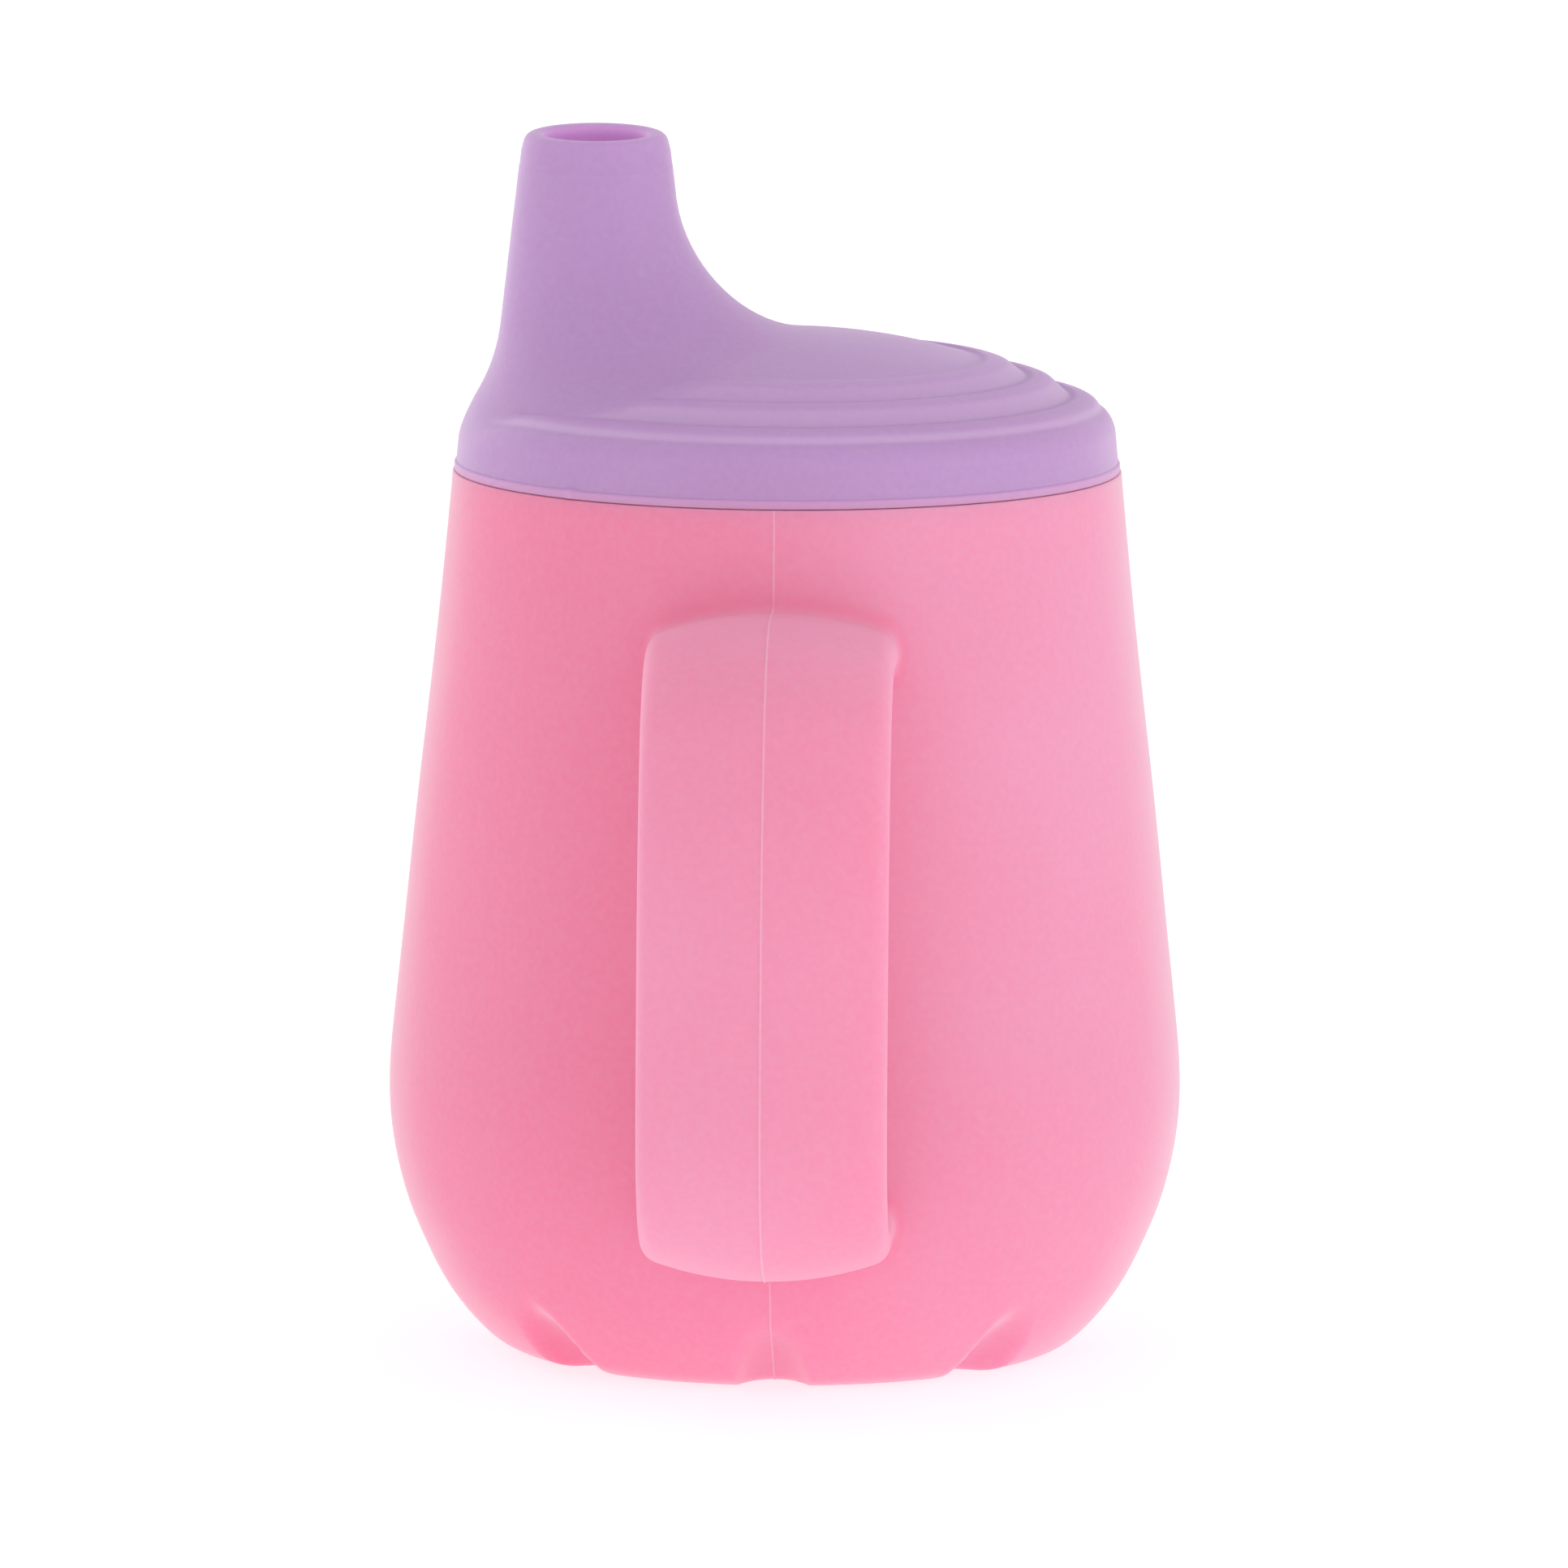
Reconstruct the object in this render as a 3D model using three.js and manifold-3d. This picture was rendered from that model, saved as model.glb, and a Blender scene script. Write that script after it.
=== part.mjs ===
// Two-handled silicone sippy cup: cup body, pull-off spouted lid and a push-in flow valve.
// Millimetres, +Z up. The origin is on the cup's axis in the plane of the foot pads.
// The spout stands on the -X side; the two loop handles stand towards -Y and +Y.
// Heights below are from a datum FOOT_Z under the foot; addPiece() moves the foot to z = 0.
import * as THREE from 'three';
import { mergeVertices } from 'three/addons/utils/BufferGeometryUtils.js';
import Module from 'manifold-3d';

const { clamp, lerp, smoothstep } = THREE.MathUtils;

// ---------------------------------------------------------------- driving dimensions
const CUP_SEGMENTS = 96;
const FOOT_Z = 0.6;
const FOOT_RECESS = 1.5;            // hollow in the middle of the foot
const LEDGE_Z = 91.4;               // ledge the lid's skirt comes down to
const NECK_R = 31.35;               // outside of the neck inside the lid
const NECK_BORE_R = 29.3;
const NECK_CHAMFER = 0.6;
const RIM_Z = 95.95;                // top of the neck
const WALL = 2.6;
const FLOOR_Z = 4.4;                // top of the cup's floor

const FLUTE_COUNT = 8;              // scooped flutes round the foot; one is under each handle
const FLUTE_RADIUS = 4.1;           // radius of the round scoop
const FLUTE_FLOOR_R = 23.2;         // where the scoop's floor meets the foot plane
const FLUTE_OUT = 0.838;            // direction of the scoop's floor, out and up
const FLUTE_UP = 0.546;

const HANDLE_WIDTH = 25.1;          // across the strap
const HANDLE_THICK = 6.0;           // on the strap's centre line
const HANDLE_STEPS = 22;

const SPOUT_X = -19.7;              // spout axis
const SPOUT_TOP_Z = 126.2;          // crest of the spout's rim
const SPOUT_R = 7.67;               // outside radius at SPOUT_R_Z
const SPOUT_R_Z = 124.2;
const SPOUT_TAPER = 0.1157;         // radius gained per mm down
const SPOUT_FILLET = 14.0;          // sweep of the spout into the dome
const BORE_TOP_R = 5.15;            // drinking hole
const BORE_TOP_Z = 125.0;
const BORE_TAPER = 0.098;

const DOME_R = 64.5;                // sphere the lid's top follows
const DOME_TOP_Z = 105.8;
const SKIRT_R = 33.75;              // outside of the skirt at SKIRT_R_Z
const SKIRT_R_Z = 93.9;
const SKIRT_TAPER = 0.09;
const SHOULDER = 1.6;               // rounding between dome and skirt
const LID_BOTTOM_Z = 91.7;
const LIP_R = 34.1;                 // thin bead along the skirt's lower edge
const LID_BORE_R = 31.65;           // inside of the skirt
const GROOVE_TOP_Z = 96.3;
const PLUG_R = 29.0;                // seal ring inside the neck
const PLUG_IN_R = 27.9;
const PLUG_BOTTOM_Z = 93.3;
const LID_WALL = 2.1;
const LID_SEGMENTS = 48;

const COLLAR_BOTTOM_Z = 101.0;      // tube under the spout that holds the valve
const COLLAR_TOP_Z = 117;
const COLLAR_IN_R = 4.5;            // before the bore is cut
const COLLAR_INSET = 0.8;           // of its outside within the spout's cone
const COLLAR_SEGMENTS = 40;
const BORE_CUT_BOTTOM_Z = 100;
const BORE_CUT_TOP_Z = 118.8;

const VALVE_CLEAR = 0.3;            // between valve and collar
const VALVE_BOTTOM_Z = 99.4;
const VALVE_TOP_Z = 110.0;
const VALVE_CHAMFER = 0.6;
const VALVE_FLANGE_R = 7.9;
const VALVE_HOLLOW_R = 6.2;
const VALVE_SEGMENTS = 36;
const SLIT = { length: 5.0, width: 0.35, height: 6, z: 108 };
const PULL_BAR = { length: 12.9, width: 1.8, height: 2.6 };

// ---------------------------------------------------------------- solids library
const wasm = await Module();
wasm.setup();

// A closed manifold solid from a geometry: shared vertices merged, slivers dropped.
function solid(geometry) {
  for (const name of Object.keys(geometry.attributes)) {
    if (name !== 'position') geometry.deleteAttribute(name);
  }
  const merged = mergeVertices(geometry, 1e-4);
  const position = merged.attributes.position;
  const index = merged.index.array;
  const corner = (k) => new THREE.Vector3().fromBufferAttribute(position, k);
  const triangles = [];
  let volumeSign = 0; // six times the signed volume
  for (let i = 0; i < index.length; i += 3) {
    const [a, b, c] = index.slice(i, i + 3);
    if (a === b || b === c || c === a) continue;
    triangles.push(a, b, c);
    volumeSign += corner(a).dot(corner(b).cross(corner(c)));
  }
  // an inside-out surface is turned round
  if (volumeSign < 0) {
    for (let i = 0; i < triangles.length; i += 3) {
      [triangles[i + 1], triangles[i + 2]] = [triangles[i + 2], triangles[i + 1]];
    }
  }
  return new wasm.Manifold(new wasm.Mesh({
    numProp: 3,
    vertProperties: new Float32Array(position.array),
    triVerts: new Uint32Array(triangles),
  }));
}

function geometryOf(manifold) {
  const mesh = manifold.getMesh();
  const geometry = new THREE.BufferGeometry();
  const position = new Float32Array(mesh.vertProperties);
  geometry.setAttribute('position', new THREE.BufferAttribute(position, 3));
  geometry.setIndex(new THREE.BufferAttribute(new Uint32Array(mesh.triVerts), 1));
  geometry.computeVertexNormals();
  return geometry;
}

const polar = (r, azimuth, z) => [r * Math.cos(azimuth), r * Math.sin(azimuth), z];

// A lathe's mesh with each vertex placed by pointAt(row, azimuth).
function rowsAround(rowCount, segments, pointAt) {
  // this profile only lays out the triangles; every vertex is moved
  const profile = Array.from({ length: rowCount }, (_, row) => new THREE.Vector2(1 + row, row));
  const geometry = new THREE.LatheGeometry(profile, segments);
  const position = geometry.attributes.position;
  for (let k = 0; k < position.count; k++) {
    const i = Math.floor(k / rowCount) % segments;
    const azimuth = -Math.PI / 2 + (2 * Math.PI * i) / segments;
    position.setXYZ(k, ...pointAt(k % rowCount, azimuth));
  }
  return geometry;
}

// Plain lathe about +Z; rows are [radius, z].
const lathe = (rows, segments) =>
  rowsAround(rows.length, segments, (row, azimuth) => polar(rows[row][0], azimuth, rows[row][1]));

const spoutLathe = (rows, segments) => solid(lathe(rows, segments).translate(SPOUT_X, 0, 0));

const spoutBox = (length, width, height, z) =>
  solid(new THREE.BoxGeometry(length, width, height).translate(SPOUT_X, 0, z));

// ---------------------------------------------------------------- cup body
// Outside of the wall, [radius, z], from the foot up to the ledge.
const WALL_OUT = [
  [26.6, 0.72], [28.2, 1.12], [29.7, 1.85], [31.2, 3.1], [33.25, 5.4], [35.1, 8.1],
  [37.1, 12.1], [38.55, 15.6], [39.65, 19.4], [40.4, 23.6], [40.65, 28.2], [40.2, 34.8],
  [39.3, 43.3], [38.0, 55.9], [36.55, 68.6], [35.4, 79.1], [34.3, 90.6],
];
// Inside of the wall, [radius, z], from under the neck down to the floor.
const WALL_IN = [
  [34.5 - WALL, 87.0], [36.55 - WALL, 68.6], [38.0 - WALL, 55.9], [39.3 - WALL, 43.3],
  [40.65 - WALL, 28.2], [37.3, 21.5], [35.3, 15.5], [32.0, 10.4], [28.2, 7.2], [24.0, 5.3],
  [19.0, FLOOR_Z],
];
const CUP_ROWS = [
  [0, FOOT_Z + FOOT_RECESS], [15.6, FOOT_Z + FOOT_RECESS],
  [17.2, FOOT_Z], [22.3, FOOT_Z], [24.8, FOOT_Z],
  ...WALL_OUT,
  [34.0, 91.2], [33.5, LEDGE_Z], [NECK_R, LEDGE_Z],
  [NECK_R, RIM_Z - NECK_CHAMFER], [NECK_R - NECK_CHAMFER, RIM_Z],
  [NECK_BORE_R + NECK_CHAMFER, RIM_Z], [NECK_BORE_R, RIM_Z - NECK_CHAMFER],
  [NECK_BORE_R, 91.0],
  ...WALL_IN,
  [0, FLOOR_Z],
];
// The flutes cut the foot's outer edge and the lowest six rows of the wall.
const FIRST_FLUTED = 4;
const LAST_FLUTED = FIRST_FLUTED + 6;

// Radius left at a height and at an angle from a flute's centre line once the scoop is taken out.
function scoopRadius(z, angle) {
  let r = 30; // first guess, refined in turn
  for (let k = 0; k < 12; k++) {
    const across = r * Math.sin(angle);
    if (Math.abs(across) >= FLUTE_RADIUS) return Infinity;
    const lift = FLUTE_RADIUS - Math.sqrt(FLUTE_RADIUS ** 2 - across * across);
    const floorR = FLUTE_FLOOR_R + (FLUTE_OUT * (z - FOOT_Z) + lift) / FLUTE_UP;
    r = 0.5 * r + 0.5 * floorR / Math.cos(angle);
  }
  return r;
}

function cupPoint(row, azimuth) {
  let [r, z] = CUP_ROWS[row];
  if (row >= FIRST_FLUTED && row <= LAST_FLUTED) {
    const pitch = (2 * Math.PI) / FLUTE_COUNT;
    const fromHandle = azimuth + Math.PI / 2;
    r = Math.min(r, scoopRadius(z, fromHandle - pitch * Math.round(fromHandle / pitch)));
  }
  return polar(r, azimuth, z);
}

// Mid plane of the handle's strap, [distance from the axis, z], from its upper root to its lower.
const HANDLE_PATH = [
  [31.0, 77.7], [38.5, 78.35], [43.5, 78.55], [48.0, 77.6], [51.6, 75.3], [54.6, 72.1],
  [56.6, 67.9], [58.3, 63.6], [59.8, 58.0], [60.9, 51.0], [61.6, 43.5], [62.1, 36.5],
  [62.0, 30.1], [60.6, 25.5], [57.6, 21.9], [53.4, 19.3], [48.6, 18.1], [43.5, 17.8],
  [39.0, 18.0], [34.0, 18.3],
];

function strapShape() {
  const side = HANDLE_WIDTH / 2;
  const face = HANDLE_THICK / 2;
  // [across, through]; negative through is the loop's outer, crowned face
  const half = [
    [0, -face], [5.2, -face + 0.40], [9.2, -face + 1.26], [11.3, -face + 1.95],
    [side - 0.25, -face + 2.85], [side, -face + 3.7], [side, face - 1.5],
    [side - 0.95, face - 0.35], [8.0, face],
  ];
  const mirrored = half.slice(1).reverse().map(([across, through]) => [-across, through]);
  return new THREE.Shape([...half, ...mirrored].map((point) => new THREE.Vector2(...point)));
}

// The strap swept along its loop towards -Y, then turned about the cup's axis.
function strap(turn) {
  const points = HANDLE_PATH.map(([distance, z]) => new THREE.Vector3(0, -distance, z));
  const extrudePath = new THREE.CatmullRomCurve3(points, false, 'centripetal');
  const options = { steps: HANDLE_STEPS, bevelEnabled: false, extrudePath };
  return solid(new THREE.ExtrudeGeometry(strapShape(), options).rotateZ(turn));
}

function buildCup() {
  // Trims the handle roots so that nothing stands into the drink; reaches slightly into the wall.
  const bite = 0.4;
  const trimTopZ = 96;
  const hollow = solid(lathe([
    [0, FLOOR_Z - 1],
    ...WALL_IN.map(([r, z]) => [r + bite, z]).reverse(),
    [NECK_BORE_R + bite, trimTopZ], [0, trimTopZ],
  ], CUP_SEGMENTS));
  const shell = solid(rowsAround(CUP_ROWS.length, CUP_SEGMENTS, cupPoint));
  return shell.add(strap(0).subtract(hollow)).add(strap(Math.PI).subtract(hollow));
}

// ---------------------------------------------------------------- lid surfaces
const RINGS_IN_R = 19.8; // inner edge of the ripple rings
// Ripple relief above the dome sphere, [radius, height]: each ring rises steeply on its inner
// side, climbs gently outwards and then falls to the next valley.
const RELIEF = [
  [0, 0], [RINGS_IN_R, 0], [20.45, 0.5], [21.6, 0.68], [22.6, 0.72], [23.4, 0.42],
  [24.45, 0], [25.15, 0.52], [26.2, 0.8], [27.1, 0.84], [27.9, 0.45],
  [28.9, 0], [29.55, 0.55], [30.8, 0.9], [31.65, 0.92], [32.2, 0.5], [32.8, 0.72], [36, 1.2],
];
function relief(r) {
  for (let k = 1; k < RELIEF.length; k++) {
    const [outerR, outerHeight] = RELIEF[k];
    if (r > outerR) continue;
    const [innerR, innerHeight] = RELIEF[k - 1];
    return innerHeight + (outerHeight - innerHeight) * (r - innerR) / (outerR - innerR);
  }
  return RELIEF.at(-1)[1];
}

// The rings die out between these distances from the spout's axis, [none, full]; the limits
// pass from the inner rings' to the outer ring's across FADE_CHANGE_WIDTH of radius.
const FADE_INNER = [20, 25.8];
const FADE_OUTER = [14, 20];
const FADE_CHANGE_R = 27.8;
const FADE_CHANGE_WIDTH = 2.7;
function reliefFade(r, spoutDistance) {
  const t = clamp((r - FADE_CHANGE_R) / FADE_CHANGE_WIDTH, 0, 1);
  const [none, full] = FADE_INNER.map((inner, k) => lerp(inner, FADE_OUTER[k], t));
  return smoothstep(spoutDistance, none, full);
}

const coneR = (z) => SPOUT_R + SPOUT_TAPER * (SPOUT_R_Z - z);
const boreR = (z) => BORE_TOP_R + BORE_TAPER * (BORE_TOP_Z - z);
const skirtR = (z) => SKIRT_R - SKIRT_TAPER * (z - SKIRT_R_Z);

const CONE_COS = Math.cos(Math.atan(SPOUT_TAPER));
const CONE_SIN = Math.sin(Math.atan(SPOUT_TAPER));
const DOME_CENTRE_Z = DOME_TOP_Z - DOME_R;

// Signed height over the lid's swept top: cone and dome joined by a rolling-ball fillet.
function lidTop(x, y, z, hasRings) {
  const r = Math.hypot(x, y);
  const dx = x - SPOUT_X;
  const dz = z - DOME_CENTRE_Z;
  const spoutDistance = Math.hypot(dx, y) || 1e-9;
  const domeDistance = Math.hypot(x, y, dz);
  const rings = hasRings ? relief(r) * reliefFade(r, spoutDistance) : 0;
  const overCone = (spoutDistance - coneR(z)) * CONE_COS;
  const overDome = domeDistance - DOME_R - rings;
  // cosine between the two surfaces' normals
  const outward = (dx * x + y * y) / spoutDistance;
  const cosine = (outward * CONE_COS + CONE_SIN * dz) / domeDistance;
  const toCone = SPOUT_FILLET - overCone;
  const toDome = SPOUT_FILLET - overDome;
  if (toCone - toDome * cosine <= 0) return overDome;
  if (toDome - toCone * cosine <= 0) return overCone;
  const chordSquared = toCone * toCone + toDome * toDome - 2 * toCone * toDome * cosine;
  return SPOUT_FILLET - Math.sqrt(chordSquared / Math.max(1e-6, 1 - cosine * cosine));
}

// The ringed top rounded over into the skirt.
function outside(x, y, z) {
  const overTop = lidTop(x, y, z, true);
  const overSkirt = Math.hypot(x, y) - skirtR(z);
  return Math.min(-SHOULDER, Math.max(overTop, overSkirt))
    + Math.hypot(Math.max(SHOULDER + overTop, 0), Math.max(SHOULDER + overSkirt, 0));
}
const inside = (x, y, z) => lidTop(x, y, z, false) + LID_WALL;

// Where a ray from inside a surface comes out of it, by bisection over the ray's reach.
function rayExit(surface, origin, direction, reach) {
  const at = (t) => origin.map((start, k) => start + t * direction[k]);
  let low = 0;
  let high = reach;
  for (let k = 0; k < 48; k++) {
    const middle = (low + high) / 2;
    if (surface(...at(middle)) < 0) low = middle;
    else high = middle;
  }
  return at(low);
}
const pointAbove = (surface, r, azimuth) =>
  rayExit(surface, polar(r, azimuth, 90), [0, 0, 1], 24);

// ---------------------------------------------------------------- lid rows
// A zone of rows runs in from the skirt to openR, but only to closedR on the spout's side.
// Rows that would pass that edge are squeezed into a margin along it.
const OUTER_ZONE = { openR: RINGS_IN_R, closedR: 32.0, margin: 0.9 };
const UNDER_ZONE = { openR: RINGS_IN_R, closedR: 27.6, margin: 0.1 };
const SQUEEZE_MAX_R = 33.2;

function zoneEdge(azimuth, { openR, closedR }) {
  const fromPlusX = Math.abs(Math.atan2(Math.sin(azimuth), Math.cos(azimuth))) * 180 / Math.PI;
  return openR + (closedR - openR) * Math.pow(smoothstep(fromPlusX, 80, 180), 0.9);
}
function squeeze(r, azimuth, zone) {
  const edge = zoneEdge(azimuth, zone);
  const limit = Math.min(edge + zone.margin, SQUEEZE_MAX_R);
  if (r >= limit) return r;
  return edge + (limit - edge) * (r - zone.openR) / (limit - zone.openR);
}

const aroundSpout = (r, spoutAzimuth, z) => {
  const [x, y] = polar(r, spoutAzimuth, z);
  return [SPOUT_X + x, y, z];
};
// Azimuth about the spout's axis of the zone edge's point at a lid azimuth.
function edgeAzimuth(azimuth, zone) {
  const [x, y] = polar(zoneEdge(azimuth, zone), azimuth, 0);
  return Math.atan2(y, x - SPOUT_X);
}

const SWEEP_TOP_Z = 119.0; // the sweep ends on the plain cone or bore here
// Row from the zone's edge (fraction 0) to the sweep's top (1), along rays at 45 degrees.
const sweepRow = (surface, zone, topR, fraction) => (azimuth) => {
  const start = pointAbove(surface, zoneEdge(azimuth, zone), azimuth);
  const spoutAzimuth = edgeAzimuth(azimuth, zone);
  const startR = Math.hypot(start[0] - SPOUT_X, start[1]);
  // radius less height, the same all along a ray
  const offset = (startR - start[2]) * (1 - fraction) + (topR - SWEEP_TOP_Z) * fraction;
  const rayStartR = -14; // beyond the spout's axis, inside the solid
  const origin = aroundSpout(rayStartR, spoutAzimuth, rayStartR - offset);
  return rayExit(surface, origin, polar(Math.SQRT1_2, spoutAzimuth, Math.SQRT1_2), 80);
};
const fractions = (steps) => Array.from({ length: steps - 1 }, (_, k) => (k + 1) / steps);

const RING_ROWS = [32.25, 31.65, 29.6, 28.9, 27.1, 25.2, 24.45, 22.6, 20.5, RINGS_IN_R];
const ringRow = (r) => (azimuth) =>
  pointAbove(outside, squeeze(r, azimuth, OUTER_ZONE), azimuth);
const underRow = (r) => (azimuth) => {
  const squeezed = Math.min(squeeze(r, azimuth, UNDER_ZONE), PLUG_IN_R - 0.12);
  return pointAbove(inside, squeezed, azimuth);
};

// Over the rounded shoulder, on rays fanned up towards the first ring row.
const SHOULDER_FAN = { r: 31.4, z: 95.2, firstAngle: 0.03 };
const shoulderRow = (fraction) => (azimuth) => {
  const { r, z, firstAngle } = SHOULDER_FAN;
  const end = ringRow(RING_ROWS[0])(azimuth);
  const lastAngle = Math.atan2(end[2] - z, Math.hypot(end[0], end[1]) - r);
  const angle = firstAngle + (lastAngle - firstAngle) * fraction;
  const direction = polar(Math.cos(angle), azimuth, Math.sin(angle));
  return rayExit(outside, polar(r, azimuth, z), direction, 9);
};

const roundRow = ([r, z]) => (azimuth) => polar(r, azimuth, z);
const spoutRow = ([r, z]) => (azimuth) => aroundSpout(r, edgeAzimuth(azimuth, OUTER_ZONE), z);

// [radius, z] up the skirt, from the groove inside it
const SKIRT_ROWS = [
  [LID_BORE_R, GROOVE_TOP_Z], [LID_BORE_R, LID_BOTTOM_Z], [LIP_R - 0.15, LID_BOTTOM_Z],
  [LIP_R, 92.1], [LIP_R - 0.1, 92.45], [skirtR(92.7), 92.7],
];
// [radius about the spout's axis, z] up the cone, over the rim and down the bore
const SPOUT_ROWS = [
  ...[SWEEP_TOP_Z, 122.0, 124.1].map((z) => [coneR(z), z]),
  [7.42, 125.15], [7.0, 125.85], [6.3, SPOUT_TOP_Z], [5.7, 126.1], [5.25, 125.5],
  ...[124.7, SWEEP_TOP_Z].map((z) => [boreR(z), z]),
];
const PLUG_ROWS = [[PLUG_IN_R, PLUG_BOTTOM_Z], [PLUG_R, PLUG_BOTTOM_Z], [PLUG_R, GROOVE_TOP_Z]];

// Each row is a function of azimuth giving a point.
const lidRows = [
  ...SKIRT_ROWS.map(roundRow),
  ...[0.0, 0.36, 0.64, 0.88].map(shoulderRow),
  ...RING_ROWS.map(ringRow),
  ...fractions(8).map((t) => sweepRow(outside, OUTER_ZONE, coneR(SWEEP_TOP_Z), t)),
  ...SPOUT_ROWS.map(spoutRow),
  ...fractions(6).reverse().map((t) => sweepRow(inside, UNDER_ZONE, boreR(SWEEP_TOP_Z), t)),
  ...[RINGS_IN_R, 24.0].map(underRow),
  (azimuth) => pointAbove(inside, PLUG_IN_R, azimuth),
  ...PLUG_ROWS.map(roundRow),
];
lidRows.push(lidRows[0]);

// Azimuths lie closer together on the spout's side, where the sweep is tight.
const lidPoint = (row, azimuth) => lidRows[row](azimuth + 0.28 * Math.sin(azimuth));

function buildLid() {
  const shell = solid(rowsAround(lidRows.length, LID_SEGMENTS, lidPoint));
  const collar = spoutLathe([
    [COLLAR_IN_R, COLLAR_BOTTOM_Z],
    [coneR(COLLAR_BOTTOM_Z) - COLLAR_INSET, COLLAR_BOTTOM_Z],
    [coneR(COLLAR_TOP_Z) - COLLAR_INSET, COLLAR_TOP_Z],
    [COLLAR_IN_R, COLLAR_TOP_Z],
    [COLLAR_IN_R, COLLAR_BOTTOM_Z],
  ], COLLAR_SEGMENTS);
  const bore = spoutLathe([
    [0, BORE_CUT_BOTTOM_Z], [boreR(BORE_CUT_BOTTOM_Z), BORE_CUT_BOTTOM_Z],
    [boreR(BORE_CUT_TOP_Z), BORE_CUT_TOP_Z], [0, BORE_CUT_TOP_Z],
  ], COLLAR_SEGMENTS);
  return shell.add(collar).subtract(bore);
}

// ---------------------------------------------------------------- flow valve
// A tapered plug, hollow from below, closed by a membrane that dips in the middle and has a
// cross slit, with a flange and a pull bar at its foot.
function buildValve() {
  const plugR = (z) => boreR(z) - VALVE_CLEAR;
  const flangeTopZ = COLLAR_BOTTOM_Z - VALVE_CLEAR;
  const chamferZ = VALVE_TOP_Z - VALVE_CHAMFER;
  const outer = spoutLathe([
    [0, VALVE_BOTTOM_Z], [VALVE_FLANGE_R, VALVE_BOTTOM_Z], [VALVE_FLANGE_R, flangeTopZ],
    [plugR(COLLAR_BOTTOM_Z), flangeTopZ], [plugR(chamferZ), chamferZ],
    [plugR(VALVE_TOP_Z) - VALVE_CHAMFER, VALVE_TOP_Z],
    [4.4, VALVE_TOP_Z], [3.2, 109.0], [1.6, 108.2], [0, 107.9],
  ], VALVE_SEGMENTS);
  const hollow = spoutLathe([
    [0, VALVE_BOTTOM_Z - 1], [VALVE_HOLLOW_R, VALVE_BOTTOM_Z - 1],
    [VALVE_HOLLOW_R, VALVE_BOTTOM_Z],
    [5.0, 107.6], [4.4, 108.4], [3.2, 108.0], [1.6, 107.2], [0, 106.9],
  ], VALVE_SEGMENTS);
  const { length, width, height } = PULL_BAR;
  const bar = spoutBox(length, width, height, VALVE_BOTTOM_Z + height / 2);
  return outer.subtract(hollow).add(bar)
    .subtract(spoutBox(SLIT.length, SLIT.width, SLIT.height, SLIT.z))
    .subtract(spoutBox(SLIT.width, SLIT.length, SLIT.height, SLIT.z));
}

// ---------------------------------------------------------------- scene
const part = new THREE.Group();

function addPiece(name, manifold, { color, roughness }) {
  const material = new THREE.MeshStandardMaterial({ color, roughness, metalness: 0 });
  const mesh = new THREE.Mesh(geometryOf(manifold.translate([0, 0, -FOOT_Z])), material);
  mesh.name = name;
  part.add(mesh);
}
addPiece('cup_body', buildCup(), { color: 0xf596b9, roughness: 0.55 });
addPiece('lid', buildLid(), { color: 0xbc98cc, roughness: 0.55 });
addPiece('flow_valve', buildValve(), { color: 0xe9e4ee, roughness: 0.5 });

export default part;
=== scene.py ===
"""A two-handled silicone training cup: fluted cup body, domed lid with a spout, and flow valve.

The cup stands on z = 0 with its axis on Z. The handles point along -Y (front, towards the
camera) and +Y (back); the spout stands off the axis on the -X side. Shapes are worked out in
millimetres, with heights from a datum FOOT_Z under the foot, and moved down at the end.
"""

import math

import bmesh
import bpy
import numpy as np
from mathutils import Matrix, Quaternion, Vector


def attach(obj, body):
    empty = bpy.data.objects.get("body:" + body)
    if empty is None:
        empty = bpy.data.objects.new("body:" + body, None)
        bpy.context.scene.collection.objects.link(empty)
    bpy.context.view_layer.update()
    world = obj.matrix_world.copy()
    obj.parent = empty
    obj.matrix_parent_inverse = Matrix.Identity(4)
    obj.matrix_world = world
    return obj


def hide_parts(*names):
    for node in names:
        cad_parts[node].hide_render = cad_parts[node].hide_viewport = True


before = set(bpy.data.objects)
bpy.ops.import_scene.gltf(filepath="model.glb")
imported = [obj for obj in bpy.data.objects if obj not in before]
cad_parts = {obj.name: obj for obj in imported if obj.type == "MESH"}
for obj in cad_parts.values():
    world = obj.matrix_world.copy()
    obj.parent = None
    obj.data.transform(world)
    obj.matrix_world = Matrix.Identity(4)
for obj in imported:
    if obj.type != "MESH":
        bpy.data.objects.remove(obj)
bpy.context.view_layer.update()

MM = 0.001
TAU = 2 * math.pi
FOOT_Z = 0.6


# ------------------------------------------------------------------ curves and meshes
def smooth(start, end, x):
    t = np.clip((x - start) / (end - start), 0, 1)
    return t * t * (3 - 2 * t)


def gaussian_smooth(values, half_width, sigma, **padding):
    kernel = np.exp(-0.5 * (np.arange(-half_width, half_width + 1) / sigma) ** 2)
    kernel /= kernel.sum()
    return np.convolve(np.pad(values, half_width, **padding), kernel, mode="valid")


def arc_length(points):
    steps = np.linalg.norm(np.diff(points, axis=0), axis=1)
    return np.concatenate([[0], np.cumsum(steps)])


def interp_columns(at, stations, table):
    return np.stack([np.interp(at, stations, column) for column in table.T], axis=-1)


def resample(points, step):
    """Points evenly spaced along a polyline, about `step` apart."""
    stations = arc_length(points)
    count = max(2, int(round(stations[-1] / step)) + 1)
    return interp_columns(np.linspace(0, stations[-1], count), stations, points)


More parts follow.
